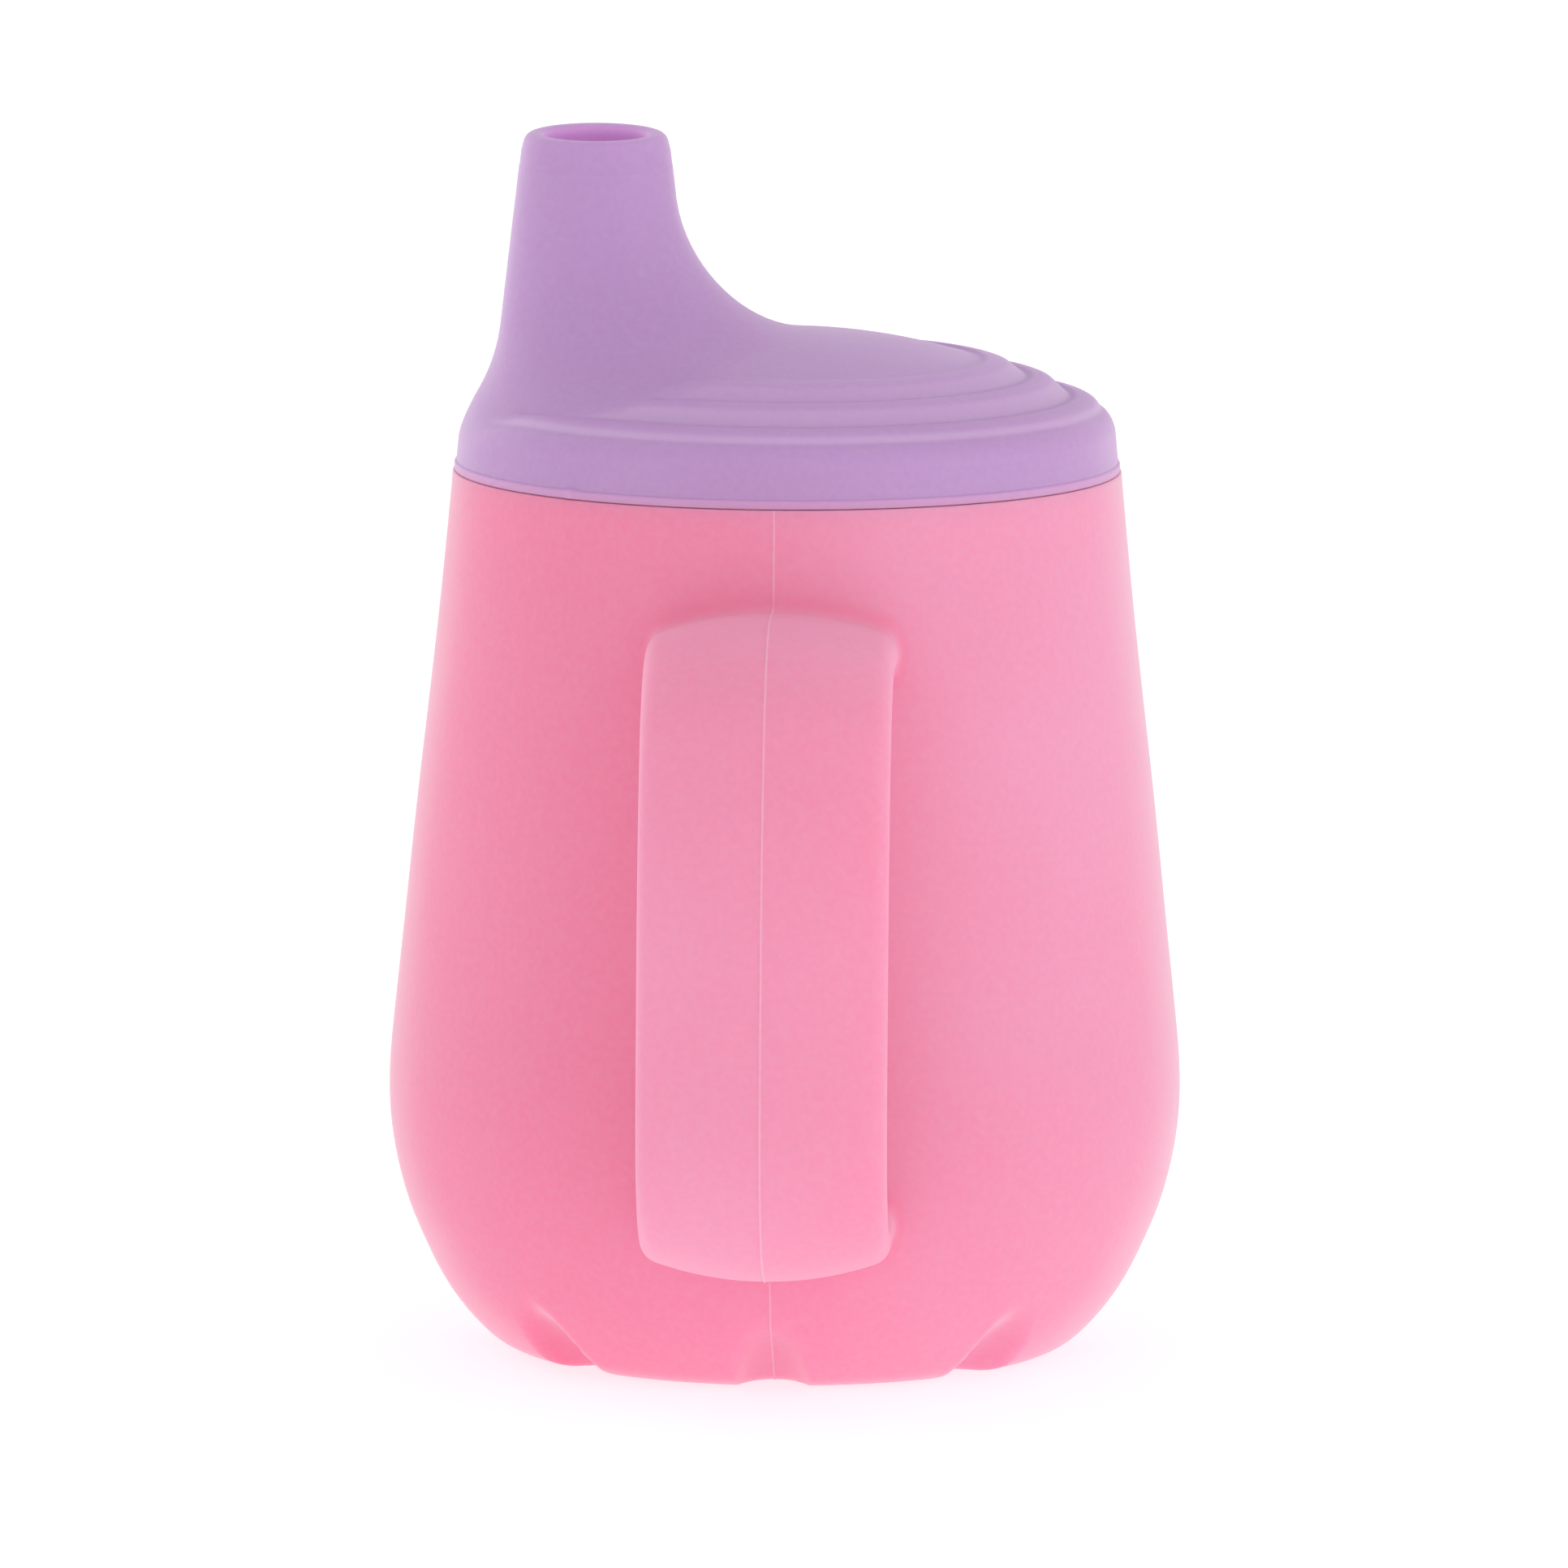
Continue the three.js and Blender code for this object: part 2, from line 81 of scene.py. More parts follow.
def spline(points, step):
    """Natural cubic spline through points, sampled at about every `step` of arc length."""
    p = np.array(points, float)
    knots = arc_length(p)
    n = len(p)
    h = np.diff(knots)
    system = np.zeros((n, n))
    rhs = np.zeros((n, p.shape[1]))
    system[0, 0] = system[-1, -1] = 1
    for i in range(1, n - 1):
        system[i, i - 1:i + 2] = h[i - 1], 2 * (h[i - 1] + h[i]), h[i]
        rhs[i] = 6 * ((p[i + 1] - p[i]) / h[i] - (p[i] - p[i - 1]) / h[i - 1])
    bend = np.linalg.solve(system, rhs)

    at = np.linspace(0, knots[-1], 4000)
    k = np.clip(np.searchsorted(knots, at, side="right") - 1, 0, n - 2)
    u, v, hk = (a[:, None] for a in (at - knots[k], knots[k + 1] - at, h[k]))
    fine = (bend[k] * v ** 3 / (6 * hk) + bend[k + 1] * u ** 3 / (6 * hk)
            + (p[k] / hk - bend[k] * hk / 6) * v + (p[k + 1] / hk - bend[k + 1] * hk / 6) * u)
    return resample(fine, step)


def arc(centre_r, centre_z, radius, start, end, count):
    """Arc points; start and end are in degrees."""
    a = np.radians(np.linspace(start, end, count))
    return np.stack([centre_r + radius * np.cos(a), centre_z + radius * np.sin(a)], axis=1)


def line(start, end, count):
    t = np.linspace(0, 1, count)[:, None]
    return np.array(start, float) * (1 - t) + np.array(end, float) * t


def ring(radius, angle, z, centre_x=0.0):
    """Points round a vertical axis; radius and z may change with the angle."""
    return np.stack([centre_x + radius * np.cos(angle), radius * np.sin(angle),
                     np.broadcast_to(z, angle.shape)], axis=1)


def bridge(ids_a, ids_b):
    """Quads between two closed rings of vertex ids."""
    return list(zip(ids_a, np.roll(ids_a, -1), np.roll(ids_b, -1), ids_b))


def link_object(name, data):
    obj = bpy.data.objects.new(name, data)
    bpy.context.scene.collection.objects.link(obj)
    return obj


def mesh_object(name, points, faces, sharp=None, attributes=None):
    """Smooth-shaded mesh from points in mm, with float attributes on its points."""
    mesh = bpy.data.meshes.new(name)
    mesh.from_pydata((np.asarray(points) * MM).tolist(), [],
                     [tuple(int(i) for i in face) for face in faces])
    for key, values in (attributes or {}).items():
        layer = mesh.attributes.new(key, "FLOAT", "POINT")
        layer.data.foreach_set("value", np.asarray(values, np.float32))
    bm = bmesh.new()
    bm.from_mesh(mesh)
    bmesh.ops.dissolve_degenerate(bm, dist=2e-7, edges=bm.edges)
    bmesh.ops.recalc_face_normals(bm, faces=bm.faces)
    bm.to_mesh(mesh)
    bm.free()
    mesh.shade_smooth()
    if sharp is not None:
        mesh.set_sharp_from_angle(angle=math.radians(sharp))
    return link_object(name, mesh)


# ------------------------------------------------------------------ cup wall
# outside of the un-fluted wall: radius, height
WALL_OUTLINE = [
    [22.3, 0.6], [23.6, 0.6], [24.8, 0.6], [26.6, 0.72], [28.2, 1.12], [29.7, 1.85],
    [31.2, 3.1], [33.25, 5.4], [35.1, 8.1], [37.1, 12.1], [38.55, 15.6], [39.65, 19.4],
    [40.4, 23.6], [40.65, 28.2], [40.2, 34.8], [39.3, 43.3], [38.0, 55.9], [36.55, 68.6],
    [35.4, 79.1], [34.3, 90.6],
]
WALL = 2.6
LEDGE_Z = 91.4
LEDGE_CORNER = 0.35
NECK_OUT_R = 31.35
NECK_IN_R = 29.3
NECK_CORNER = 0.6
NECK_CORNER_Z = 95.35
FLOOR_Z = 4.4

wall_line = spline(WALL_OUTLINE, 0.05)
wall_above_foot = wall_line[wall_line[:, 1] > 0.75]


def wall_radius(z):
    """Outside radius of the un-fluted wall at height z (above the foot's curl)."""
    return np.interp(z, wall_above_foot[:, 1], wall_above_foot[:, 0])


FLUTES = 8
FLUTE_R = 4.0
FLUTE_START = 23.2            # radius at which a flute's floor leaves the foot plane
FLUTE_OUT, FLUTE_UP = 0.838, 0.546   # direction in which the floor climbs
FLUTE_EDGE = 1.0              # reach of the rounding along a flute's edge
FLUTE_SIDE = 0.985            # part of the radius taken up by the round floor
FLUTE_SIDE_FALL = 12          # steepness of the sides beyond it


def flute(p):
    """Moves points that stand in a flute up onto its round floor, with the edge rounded over."""
    r = np.hypot(p[:, 0], p[:, 1])
    azimuth = np.arctan2(p[:, 1], p[:, 0]) + math.pi / 2
    pitch = TAU / FLUTES
    nearest = pitch * np.round(azimuth / pitch)
    along, across = r * np.cos(azimuth - nearest), r * np.sin(azimuth - nearest)
    height = -(along - FLUTE_START) * FLUTE_UP + (p[:, 2] - FOOT_Z) * FLUTE_OUT
    round_floor = np.sqrt(np.maximum(FLUTE_R ** 2 - across * across, 0)) - FLUTE_R
    beyond = np.abs(across) - FLUTE_R * FLUTE_SIDE
    floor = np.where(beyond < 0, round_floor, -FLUTE_R - beyond * FLUTE_SIDE_FALL)
    gap = height - floor
    higher = np.maximum(height, floor)
    rounding = (FLUTE_EDGE - np.abs(gap)) ** 2 / (4 * FLUTE_EDGE)
    soft = np.where(np.abs(gap) < FLUTE_EDGE, higher + rounding, higher)
    move = np.where(gap < FLUTE_EDGE, soft - height, 0.0)
    along = along - FLUTE_UP * move
    moved = ring(np.hypot(along, across),
                 np.arctan2(across, along) + nearest - math.pi / 2,
                 p[:, 2] + FLUTE_OUT * move)
    return np.where((move > 1e-9)[:, None], moved, p)


# even columns, with three more on each side of the mould line at front and back
EVEN_COLUMNS = 368
SEAM_OFFSETS = [0.075, 0.15, 0.28]
SEAM_RADIUS = 37
even = np.arange(EVEN_COLUMNS) * TAU / EVEN_COLUMNS
beside_seam = [seam + side * offset / SEAM_RADIUS
               for seam in (even[0], even[EVEN_COLUMNS // 2])
               for side in (-1, 1) for offset in SEAM_OFFSETS]
columns = np.sort(np.concatenate([even, beside_seam]))    # azimuths from -Y
COLUMN_COUNT = len(columns)
FRONT = int(np.argmin(np.abs(columns)))
BACK = int(np.argmin(np.abs(columns - math.pi)))

# the whole turned profile, from under the foot, up the outside and down the inside
outer = np.concatenate([
    line([2.0, 2.1], [14.6, 2.1], 8),
    spline([[15.2, 2.08], [15.8, 1.8], [16.3, 1.2], [16.8, 0.74], [17.5, FOOT_Z]], 0.35),
    line([18.3, FOOT_Z], [21.6, FOOT_Z], 5),
    resample(wall_line[wall_line[:, 1] <= 11.0], 0.36),
    resample(wall_line[wall_line[:, 1] > 11.0], 0.80)[1:],
])
outer[-1] = [34.28, 91.02]
shoulder = arc(34.07, 91.18, 0.20, 6, 88, 6)
ledge_corner_r = NECK_OUT_R + LEDGE_CORNER
ledge = np.concatenate([
    line([33.0, LEDGE_Z], [ledge_corner_r, LEDGE_Z], 3),
    arc(ledge_corner_r, LEDGE_Z + LEDGE_CORNER, LEDGE_CORNER, 270, 180, 4),
])
neck = np.concatenate([
    line([NECK_OUT_R, 92.2], [NECK_OUT_R, 95.2], 5),
    arc(NECK_OUT_R - NECK_CORNER, NECK_CORNER_Z, NECK_CORNER, 0, 90, 6)[1:],
    arc(NECK_IN_R + NECK_CORNER, NECK_CORNER_Z, NECK_CORNER, 90, 180, 6),
    line([NECK_IN_R, 95.0], [NECK_IN_R, LEDGE_Z], 5),
])
inner = spline([
    [NECK_IN_R, 91.0], [30.0, 89.4], [31.4, 87.6], [32.3, 85.2], [33.2, 78.0],
    [36.55 - WALL, 68.6], [38.0 - WALL, 55.9], [39.3 - WALL, 43.3], [40.65 - WALL, 28.2],
    [37.3, 21.5], [35.3, 15.5], [32.0, 10.4], [28.2, 7.2], [24.0, 5.3], [19.0, FLOOR_Z],
    [14.0, FLOOR_Z],
], 2.2)
inside_floor = line([11.0, FLOOR_Z], [2.0, FLOOR_Z], 4)
profile = np.concatenate([outer, shoulder, ledge, neck, inner, inside_floor])
OUTSIDE_ROWS = len(outer) + len(shoulder)
ROW_COUNT = len(profile)

grid = np.stack([ring(r, columns - math.pi / 2, z) for r, z in profile])
for row, (r, z) in enumerate(outer):
    if r > 17.0 and z < 13.0:
        grid[row] = flute(grid[row])

# ------------------------------------------------------------------ handle strap
STRAP_WIDTH, STRAP_THICK = 25.1, 6.0
CROWN_R = 34.0                # crown of the outer face
OUTER_CORNER_R = 2.2
INNER_CORNER_R = 1.6
# middle of the strap from top root to bottom root: distance from the cup's axis, height
STRAP_PATH = [
    [31.0, 77.7], [38.5, 78.35], [43.5, 78.55], [48.0, 77.6], [51.6, 75.3], [54.6, 72.1],
    [56.6, 67.9], [58.3, 63.6], [59.8, 58.0], [60.9, 51.0], [61.6, 43.5], [62.1, 36.5],
    [62.0, 30.1], [60.6, 25.5], [57.6, 21.9], [53.4, 19.3], [48.6, 18.1], [43.5, 17.8],
    [39.0, 18.0], [34.0, 18.3],
]
PATCH_HALF = 34               # wall columns taken up by each half of a root patch
PATCH_ROWS = 20               # wall rows taken up by a root patch
ROOT_TOP_Z, ROOT_BOTTOM_Z = 78.0, 18.3
WALL_RINGS = 3                # rings on the wall between the hole's edge and the fillet
FILLET_RINGS = 9
BLEND_RINGS = WALL_RINGS + FILLET_RINGS
STRAP_STEPS = 116

path = np.stack([gaussian_smooth(column, 40, 15.0, mode="reflect", reflect_type="odd")
                 for column in spline(STRAP_PATH, 0.1).T], axis=1)
path_stations = arc_length(path)
path_tangent = np.gradient(path, axis=0)
path_tangent /= np.linalg.norm(path_tangent, axis=1)[:, None]


def arc_points(centre_x, centre_y, radius, angles):
    return [[centre_x + radius * math.cos(a), centre_y + radius * math.sin(a)] for a in angles]


def strap_section():
    """Closed section loop (x across, y through, outer face at negative y), starting at the
    left outer corner and spaced to match the edge of a root patch."""
    half_width = STRAP_WIDTH / 2
    inner_y = STRAP_THICK / 2
    crown_y = -STRAP_THICK / 2 + CROWN_R
    outer_x = half_width - OUTER_CORNER_R
    outer_y = crown_y - math.sqrt((CROWN_R - OUTER_CORNER_R) ** 2 - outer_x ** 2)
    inner_x = half_width - INNER_CORNER_R
    touch = math.atan2(outer_y - crown_y, outer_x)    # where crown and corner are tangent
    outer_corner = (outer_x, outer_y, OUTER_CORNER_R)
    inner_corner = (inner_x, inner_y - INNER_CORNER_R, INNER_CORNER_R)
    half = np.concatenate([
        arc_points(0.0, crown_y, CROWN_R, np.linspace(-math.pi / 2, touch, 60)),
        arc_points(*outer_corner, np.linspace(touch, 0, 40))[1:],
        line([half_width, outer_y], [half_width, inner_y - INNER_CORNER_R], 20)[1:],
        arc(*inner_corner, 0, 90, 30)[1:],
        line([inner_x, inner_y], [0, inner_y], 60)[1:],
    ])
    stations = arc_length(half)

    def station_at(corner, angle):
        target = np.array(arc_points(*corner, [angle])[0])
        return stations[int(np.argmin(np.linalg.norm(half - target, axis=1)))]

    def face_stations(length):
        """From the centre line to a corner, the first few following the seam columns."""
        last = SEAM_OFFSETS[-1]
        t = np.linspace(0, 1, PATCH_HALF - len(SEAM_OFFSETS) + 1)[1:]
        return np.concatenate([[0], SEAM_OFFSETS, last + (length - last) * t])

    outer_s = station_at(outer_corner, touch / 2)
    inner_s = station_at(inner_corner, math.pi / 4)
    end_s = stations[-1]
    outer_face, side, inner_face = (interp_columns(s, stations, half) for s in (
        face_stations(outer_s),
        np.linspace(outer_s, inner_s, PATCH_ROWS + 1),
        end_s - face_stations(end_s - inner_s),
    ))
    mirror = np.array([-1, 1.0])
    return np.concatenate([
        (outer_face * mirror)[::-1],
        outer_face[1:],
        side[1:],
        inner_face[::-1][1:],
        (inner_face * mirror)[1:],
        (side * mirror)[::-1][1:-1],
    ])


section = strap_section()
SECTION_COUNT = len(section)
section_step = np.roll(section, -1, axis=0) - np.roll(section, 1, axis=0)
section_normal = np.stack([section_step[:, 1], -section_step[:, 0]], axis=1)
section_normal /= np.linalg.norm(section_normal, axis=1)[:, None]


def strap_points(s):
    """The section's points on the front strap, at stations s along the path."""
    centre = interp_columns(s, path_stations, path)
    tangent = interp_columns(s, path_stations, path_tangent)
    x, y = section.T
    out = centre[..., 0] + y * tangent[..., 1]
    z = centre[..., 1] - y * tangent[..., 0]
    return np.stack([np.broadcast_to(x, out.shape), -out, z], axis=-1)


def root_fillet(is_top):
    """Fillet rings from the wall up to the strap, the strap stations where they end, and the
    azimuths and heights where they start on the wall."""
    span = np.arange(0, 16, 0.05)
    s = span if is_top else path_stations[-1] - span
    p = strap_points(s[:, None])
    clearance = np.hypot(p[..., 0], p[..., 1]) - wall_radius(p[..., 2])
    hit = np.zeros(SECTION_COUNT)
    for k in range(SECTION_COUNT):
        gap = clearance[:, k]
        i = np.nonzero(gap > 0)[0][0]
        if i == 0:
            hit[k] = s[0]
        else:
            hit[k] = s[i - 1] + gap[i - 1] / (gap[i - 1] - gap[i]) * (s[i] - s[i - 1])
    corner = strap_points(hit)
    # the fillet reaches further above and below the strap than at its sides
    reach = 1.3 + 0.9 * smooth(0.35, 0.95, np.abs(section_normal[:, 1]))
    away = 1.0 if is_top else -1.0
    strap_s = hit + away * reach
    wall_x = corner[:, 0] + reach * section_normal[:, 0]
    wall_z = corner[:, 2] - away * reach * section_normal[:, 1]
    radius = wall_radius(wall_z)
    azimuth = np.arcsin(np.clip(wall_x / radius, -1, 1)) - math.pi / 2
    on_wall = ring(radius, azimuth, wall_z)
    on_strap = strap_points(strap_s)
    rings = []
    for i in range(FILLET_RINGS):
        t = i / FILLET_RINGS
        rings.append((1 - t) ** 2 * on_wall + 2 * t * (1 - t) * corner + t * t * on_strap)
    return rings, strap_s, azimuth, wall_z


def first_patch_row(z_mid):
    """First row of the hole for a root centred on z_mid."""
    return int(np.argmin(np.abs(outer[:, 1] - (z_mid - 0.5 * PATCH_ROWS * 0.8))))


def hole_edge(centre, first, last, is_top):
    """Grid (row, column) pairs round a hole, in the section loop's order."""
    across = [(centre + k) % COLUMN_COUNT for k in range(-PATCH_HALF, PATCH_HALF + 1)]
    down = list(range(first, last + 1))
    if is_top:
        down.reverse()
    edge = [(down[0], column) for column in across]
    edge += [(row, across[-1]) for row in down[1:]]
    edge += [(down[-1], column) for column in across[::-1][1:]]
    edge += [(row, across[0]) for row in down[::-1][1:-1]]
    return edge


def wall_rings(edge, seam, azimuth, z):
    """Rings on the wall from a hole's edge to the start of the fillet."""
    edge_azimuth = np.array([columns[column] for _, column in edge])
    edge_azimuth = (edge_azimuth - seam + math.pi) % TAU - math.pi
    edge_azimuth = edge_azimuth - math.pi / 2
    edge_z = np.array([profile[row, 1] for row, _ in edge])
    rings = []
    for i in range(1, WALL_RINGS + 1):
        t = i / (WALL_RINGS + 1)
        ring_z = edge_z * (1 - t) + z * t
        rings.append(ring(wall_radius(ring_z), edge_azimuth * (1 - t) + azimuth * t, ring_z))
    return rings


def blend_weights(depth):
    """Wall weights and painted crease-shade weights of the ring `depth` rings in from the hole's
    edge.
    """
    if depth >= BLEND_RINGS:
        return 0.0, 0.0
    wall = 1 - float(smooth(WALL_RINGS - 1, BLEND_RINGS, float(depth)))
    return wall, math.exp(-((depth - WALL_RINGS - 3.0) / 2.6) ** 2)


# ------------------------------------------------------------------ cup body mesh
def build_body():
    """One closed skin: the turned wall with four holes, and the two straps grown from them."""
    grid_count = ROW_COUNT * COLUMN_COUNT
    grid_ids = np.arange(grid_count).reshape(ROW_COUNT, COLUMN_COUNT)
    verts = grid.reshape(-1, 3).tolist()
    wall_weight = [1.0] * grid_count
    crease_shade_weight = [0.0] * grid_count
    hole = np.zeros((ROW_COUNT, COLUMN_COUNT), bool)
    faces = []
    roots = [(is_top, first_patch_row(z), root_fillet(is_top))
             for is_top, z in ((True, ROOT_TOP_Z), (False, ROOT_BOTTOM_Z))]

    for centre, seam, side in ((FRONT, 0.0, 1.0), (BACK, math.pi, -1.0)):
        edges, blends, ends = [], [], []
        for is_top, first, (fillet, strap_s, azimuth, z) in roots:
            last = first + PATCH_ROWS
            edge = hole_edge(centre, first, last, is_top)
            for k in range(-PATCH_HALF, PATCH_HALF):
                hole[first:last, (centre + k) % COLUMN_COUNT] = True
            edges.append(np.array([grid_ids[at] for at in edge]))
            blends.append(wall_rings(edge, seam, azimuth, z) + fillet)
            ends.append(strap_s)
        strap = []
        for i in range(STRAP_STEPS + 1):
            t = i / STRAP_STEPS
            strap.append(strap_points(ends[0] * (1 - t) + ends[1] * t))
        chain = blends[0] + strap + blends[1][::-1]
        ids = [edges[0]]
        for i, points in enumerate(chain):
            ids.append(np.arange(len(verts), len(verts) + SECTION_COUNT))
            verts.extend((points * np.array([side, side, 1.0])).tolist())
            wall, crease_shade = blend_weights(min(i, len(chain) - 1 - i))
            wall_weight += [wall] * SECTION_COUNT
            crease_shade_weight += [crease_shade] * SECTION_COUNT
        ids.append(edges[1])
        for ids_a, ids_b in zip(ids[:-1], ids[1:]):
            faces += bridge(ids_a, ids_b)

    for row in range(ROW_COUNT - 1):
        quads = bridge(grid_ids[row], grid_ids[row + 1])
        faces += [quad for quad, is_hole in zip(quads, hole[row]) if not is_hole]
    bottom_pole, top_pole = len(verts), len(verts) + 1
    verts += [[0, 0, profile[0, 1]], [0, 0, profile[-1, 1]]]
    wall_weight += [0.0, 0.0]
    crease_shade_weight += [0.0, 0.0]
    for k in range(COLUMN_COUNT):
        k2 = (k + 1) % COLUMN_COUNT
        faces.append((bottom_pole, grid_ids[0, k2], grid_ids[0, k]))
        faces.append((top_pole, grid_ids[-1, k], grid_ids[-1, k2]))

    # drop the wall's vertices inside the holes
    used = np.zeros(len(verts), bool)
    used[np.concatenate([np.array(face) for face in faces])] = True
    new_id = np.cumsum(used) - 1
    outside = np.ones(len(verts), bool)
    outside[:grid_count] = np.arange(grid_count) // COLUMN_COUNT < OUTSIDE_ROWS
    return mesh_object(
        "cup_body_visual", np.array(verts)[used], [new_id[list(face)] for face in faces],
        attributes={
            "wall": np.array(wall_weight)[used],
            "crease_shade": np.array(crease_shade_weight)[used],
            "outer_skin": outside[used],
        })


SEAM_HEIGHT = 0.11            # how far the mould line stands up
SEAM_HALF_WIDTH = 0.095


def raise_mould_line(mesh):
    """Raises a fine line all round the cup and handles in the plane x = 0."""
    points = np.zeros(len(mesh.vertices) * 3)
    mesh.vertices.foreach_get("co", points)
    points = points.reshape(-1, 3)
    normals = np.array([v.normal for v in mesh.vertices])
    skin = np.zeros(len(points), np.float32)
    mesh.attributes["outer_skin"].data.foreach_get("value", skin)
    near = (np.abs(points[:, 0]) < 0.4 * MM) & (np.abs(normals[:, 0]) < 0.5)
    near &= (np.hypot(points[:, 0], points[:, 1]) > 18 * MM) & (skin > 0.5)
    # it stops short of the ledge, so that nothing stands up into the lid
    height = SEAM_HEIGHT * MM * np.exp(-(points[:, 0] / (SEAM_HALF_WIDTH * MM)) ** 2)
    height = height * (1 - smooth(90.6, 91.0, points[:, 2] / MM))
    points[near] += normals[near] * height[near][:, None]
    points[:, 2] = np.maximum(points[:, 2], FOOT_Z * MM)
    mesh.vertices.foreach_set("co", points.reshape(-1))
    mesh.update()


body = build_body()
raise_mould_line(body.data)

# ------------------------------------------------------------------ lid shape
# spout: a cone whose radius is SPOUT_R at SPOUT_R_Z, flared into the dome by a large fillet
SPOUT_X = -19.7
SPOUT_R, SPOUT_R_Z, SPOUT_TAPER = 7.67, 124.2, 0.1157
SPOUT_FILLET = 14.0
BORE_TOP_R, BORE_TOP_Z, BORE_TAPER = 5.15, 125.0, 0.098
CONE_START_Z = 119.0          # straight part of the spout, above the fillet
RIM_STEP, RIM_STEP_Z = 0.035, 122.65    # hair-fine step round the spout below its rim
TIP_DIP = 0.048               # slope of the spout's tip down towards -Y
DOME_R, DOME_TOP_Z = 64.5, 105.8
SKIRT_R, SKIRT_R_Z, SKIRT_TAPER = 33.75, 93.9, 0.09
LID_SHOULDER = 1.6            # rounding between dome and skirt
LID_BOTTOM_Z = 91.46
LIP_R = 34.1
GROOVE_OUT_R, GROOVE_TOP_Z = 31.65, 96.3
PLUG_R, PLUG_IN_R, PLUG_BOTTOM_Z = 29.0, 27.9, 93.3
LID_WALL = 2.1
COLLAR_BOTTOM_Z, COLLAR_INSET = 101.0, 0.8
NUB_AZIMUTH, NUB_HEIGHT = math.radians(-127.5), 0.20    # flash mark on the lip

# raised rings on the dome: radius, height above the dome
RELIEF = np.array([
    [0, 0], [19.8, 0], [20.45, 0.5], [21.6, 0.68], [22.6, 0.72], [23.4, 0.42], [24.45, 0],
    [25.15, 0.52], [26.2, 0.8], [27.1, 0.84], [27.9, 0.45], [28.9, 0], [29.55, 0.55],
    [30.8, 0.9], [31.65, 0.92], [32.2, 0.5], [32.8, 0.72], [36, 1.2],
])
RELIEF_STEP, RELIEF_BLUR = 0.02, 0.17
relief_r = np.arange(0, 40, RELIEF_STEP)
relief_h = gaussian_smooth(np.interp(relief_r, RELIEF[:, 0], RELIEF[:, 1]),
                           30, RELIEF_BLUR / RELIEF_STEP, mode="edge")


def relief(r):
    return np.interp(r, relief_r, relief_h)


def relief_fade(r, spout_distance):
    """The rings die out before the spout, the inner ones further from it than the outer."""
    t = np.clip((r - 27.8) / 2.7, 0, 1)
    return smooth(20 - 6 * t, 25.8 - 5.8 * t, spout_distance)


def cone_r(z):
    return SPOUT_R + SPOUT_TAPER * (SPOUT_R_Z - z)


def bore_r(z):
    return BORE_TOP_R + BORE_TAPER * (BORE_TOP_Z - z)


def skirt_r(z):
    return SKIRT_R - SKIRT_TAPER * (z - SKIRT_R_Z)


def top_field(p, with_rings):
    """Signed distance to dome and spout, joined by a rolling-ball fillet."""
    x, y, z = p.T
    tilt = math.atan(SPOUT_TAPER)
    dx = x - SPOUT_X
    axis_distance = np.maximum(np.hypot(dx, y), 1e-9)
    to_cone = (axis_distance - cone_r(z)) * math.cos(tilt)
    dome_z = z - (DOME_TOP_Z - DOME_R)
    dome_distance = np.sqrt(x * x + y * y + dome_z ** 2)
    to_dome = dome_distance - DOME_R
    if with_rings:
        r = np.hypot(x, y)
        to_dome = to_dome - relief(r) * relief_fade(r, axis_distance)
    slope_x, slope_y = (d / axis_distance * math.cos(tilt) for d in (dx, y))
    cos_between = (slope_x * x + slope_y * y + math.sin(tilt) * dome_z) / dome_distance
    a, b = SPOUT_FILLET - to_cone, SPOUT_FILLET - to_dome
    squared = (a * a + b * b - 2 * a * b * cos_between) / np.maximum(1e-6, 1 - cos_between ** 2)
    fillet = SPOUT_FILLET - np.sqrt(np.maximum(squared, 0))
    return np.where(a - b * cos_between <= 0, to_dome,
                    np.where(b - a * cos_between <= 0, to_cone, fillet))


def outside_field(p):
    u = top_field(p, True)
    v = np.hypot(p[:, 0], p[:, 1]) - skirt_r(p[:, 2])
    return (np.minimum(-LID_SHOULDER, np.maximum(u, v))
            + np.hypot(np.maximum(LID_SHOULDER + u, 0), np.maximum(LID_SHOULDER + v, 0)))


def inside_field(p):
    return top_field(p, False) + LID_WALL


LID_COLUMNS = 312
even_angle = -math.pi / 2 + TAU * np.arange(LID_COLUMNS) / LID_COLUMNS
lid_angle = even_angle + 0.28 * np.sin(even_angle)    # crowded towards the spout
UP = np.array([0, 0, 1.0])


def bisect(value, low, high):
    """For each column, the last t before value(t) turns from negative to positive."""
    low = np.full(LID_COLUMNS, float(low))
    high = np.full(LID_COLUMNS, float(high))
    for _ in range(46):
        t = (low + high) / 2
        negative = value(t) < 0
        low, high = np.where(negative, t, low), np.where(negative, high, t)
    return low


def cast(field, origin, direction, reach):
    """Where rays from inside cross a surface."""
    t = bisect(lambda t: field(origin + t[:, None] * direction), 0, reach)
    return origin + t[:, None] * direction


# Rings run round the lid's axis down to a zone line, then sweep over to rings round the spout.
ZONE_R = 19.8                                 # zone line's radius on the side off the spout
ZONE_SPOUT_OUT, ZONE_SPOUT_IN = 32.0, 27.6    # and on the spout's side, outside and inside
ZONE_MAX_R = 33.2


def zone_line(spout_side_r):
    off = np.degrees(np.abs(np.arctan2(np.sin(lid_angle), np.cos(lid_angle))))
    return ZONE_R + (spout_side_r - ZONE_R) * smooth(80, 180, off) ** 0.9


def spout_angles(zone):
    return np.arctan2(zone * np.sin(lid_angle), zone * np.cos(lid_angle) - SPOUT_X)


def squeeze(r, zone, margin):
    """Radii that press a ring in between the zone line and the unchanged outer rings."""
    limit = np.minimum(zone + margin, ZONE_MAX_R)
    return np.where(r >= limit, r, zone + (limit - zone) * (r - ZONE_R) / (limit - ZONE_R))


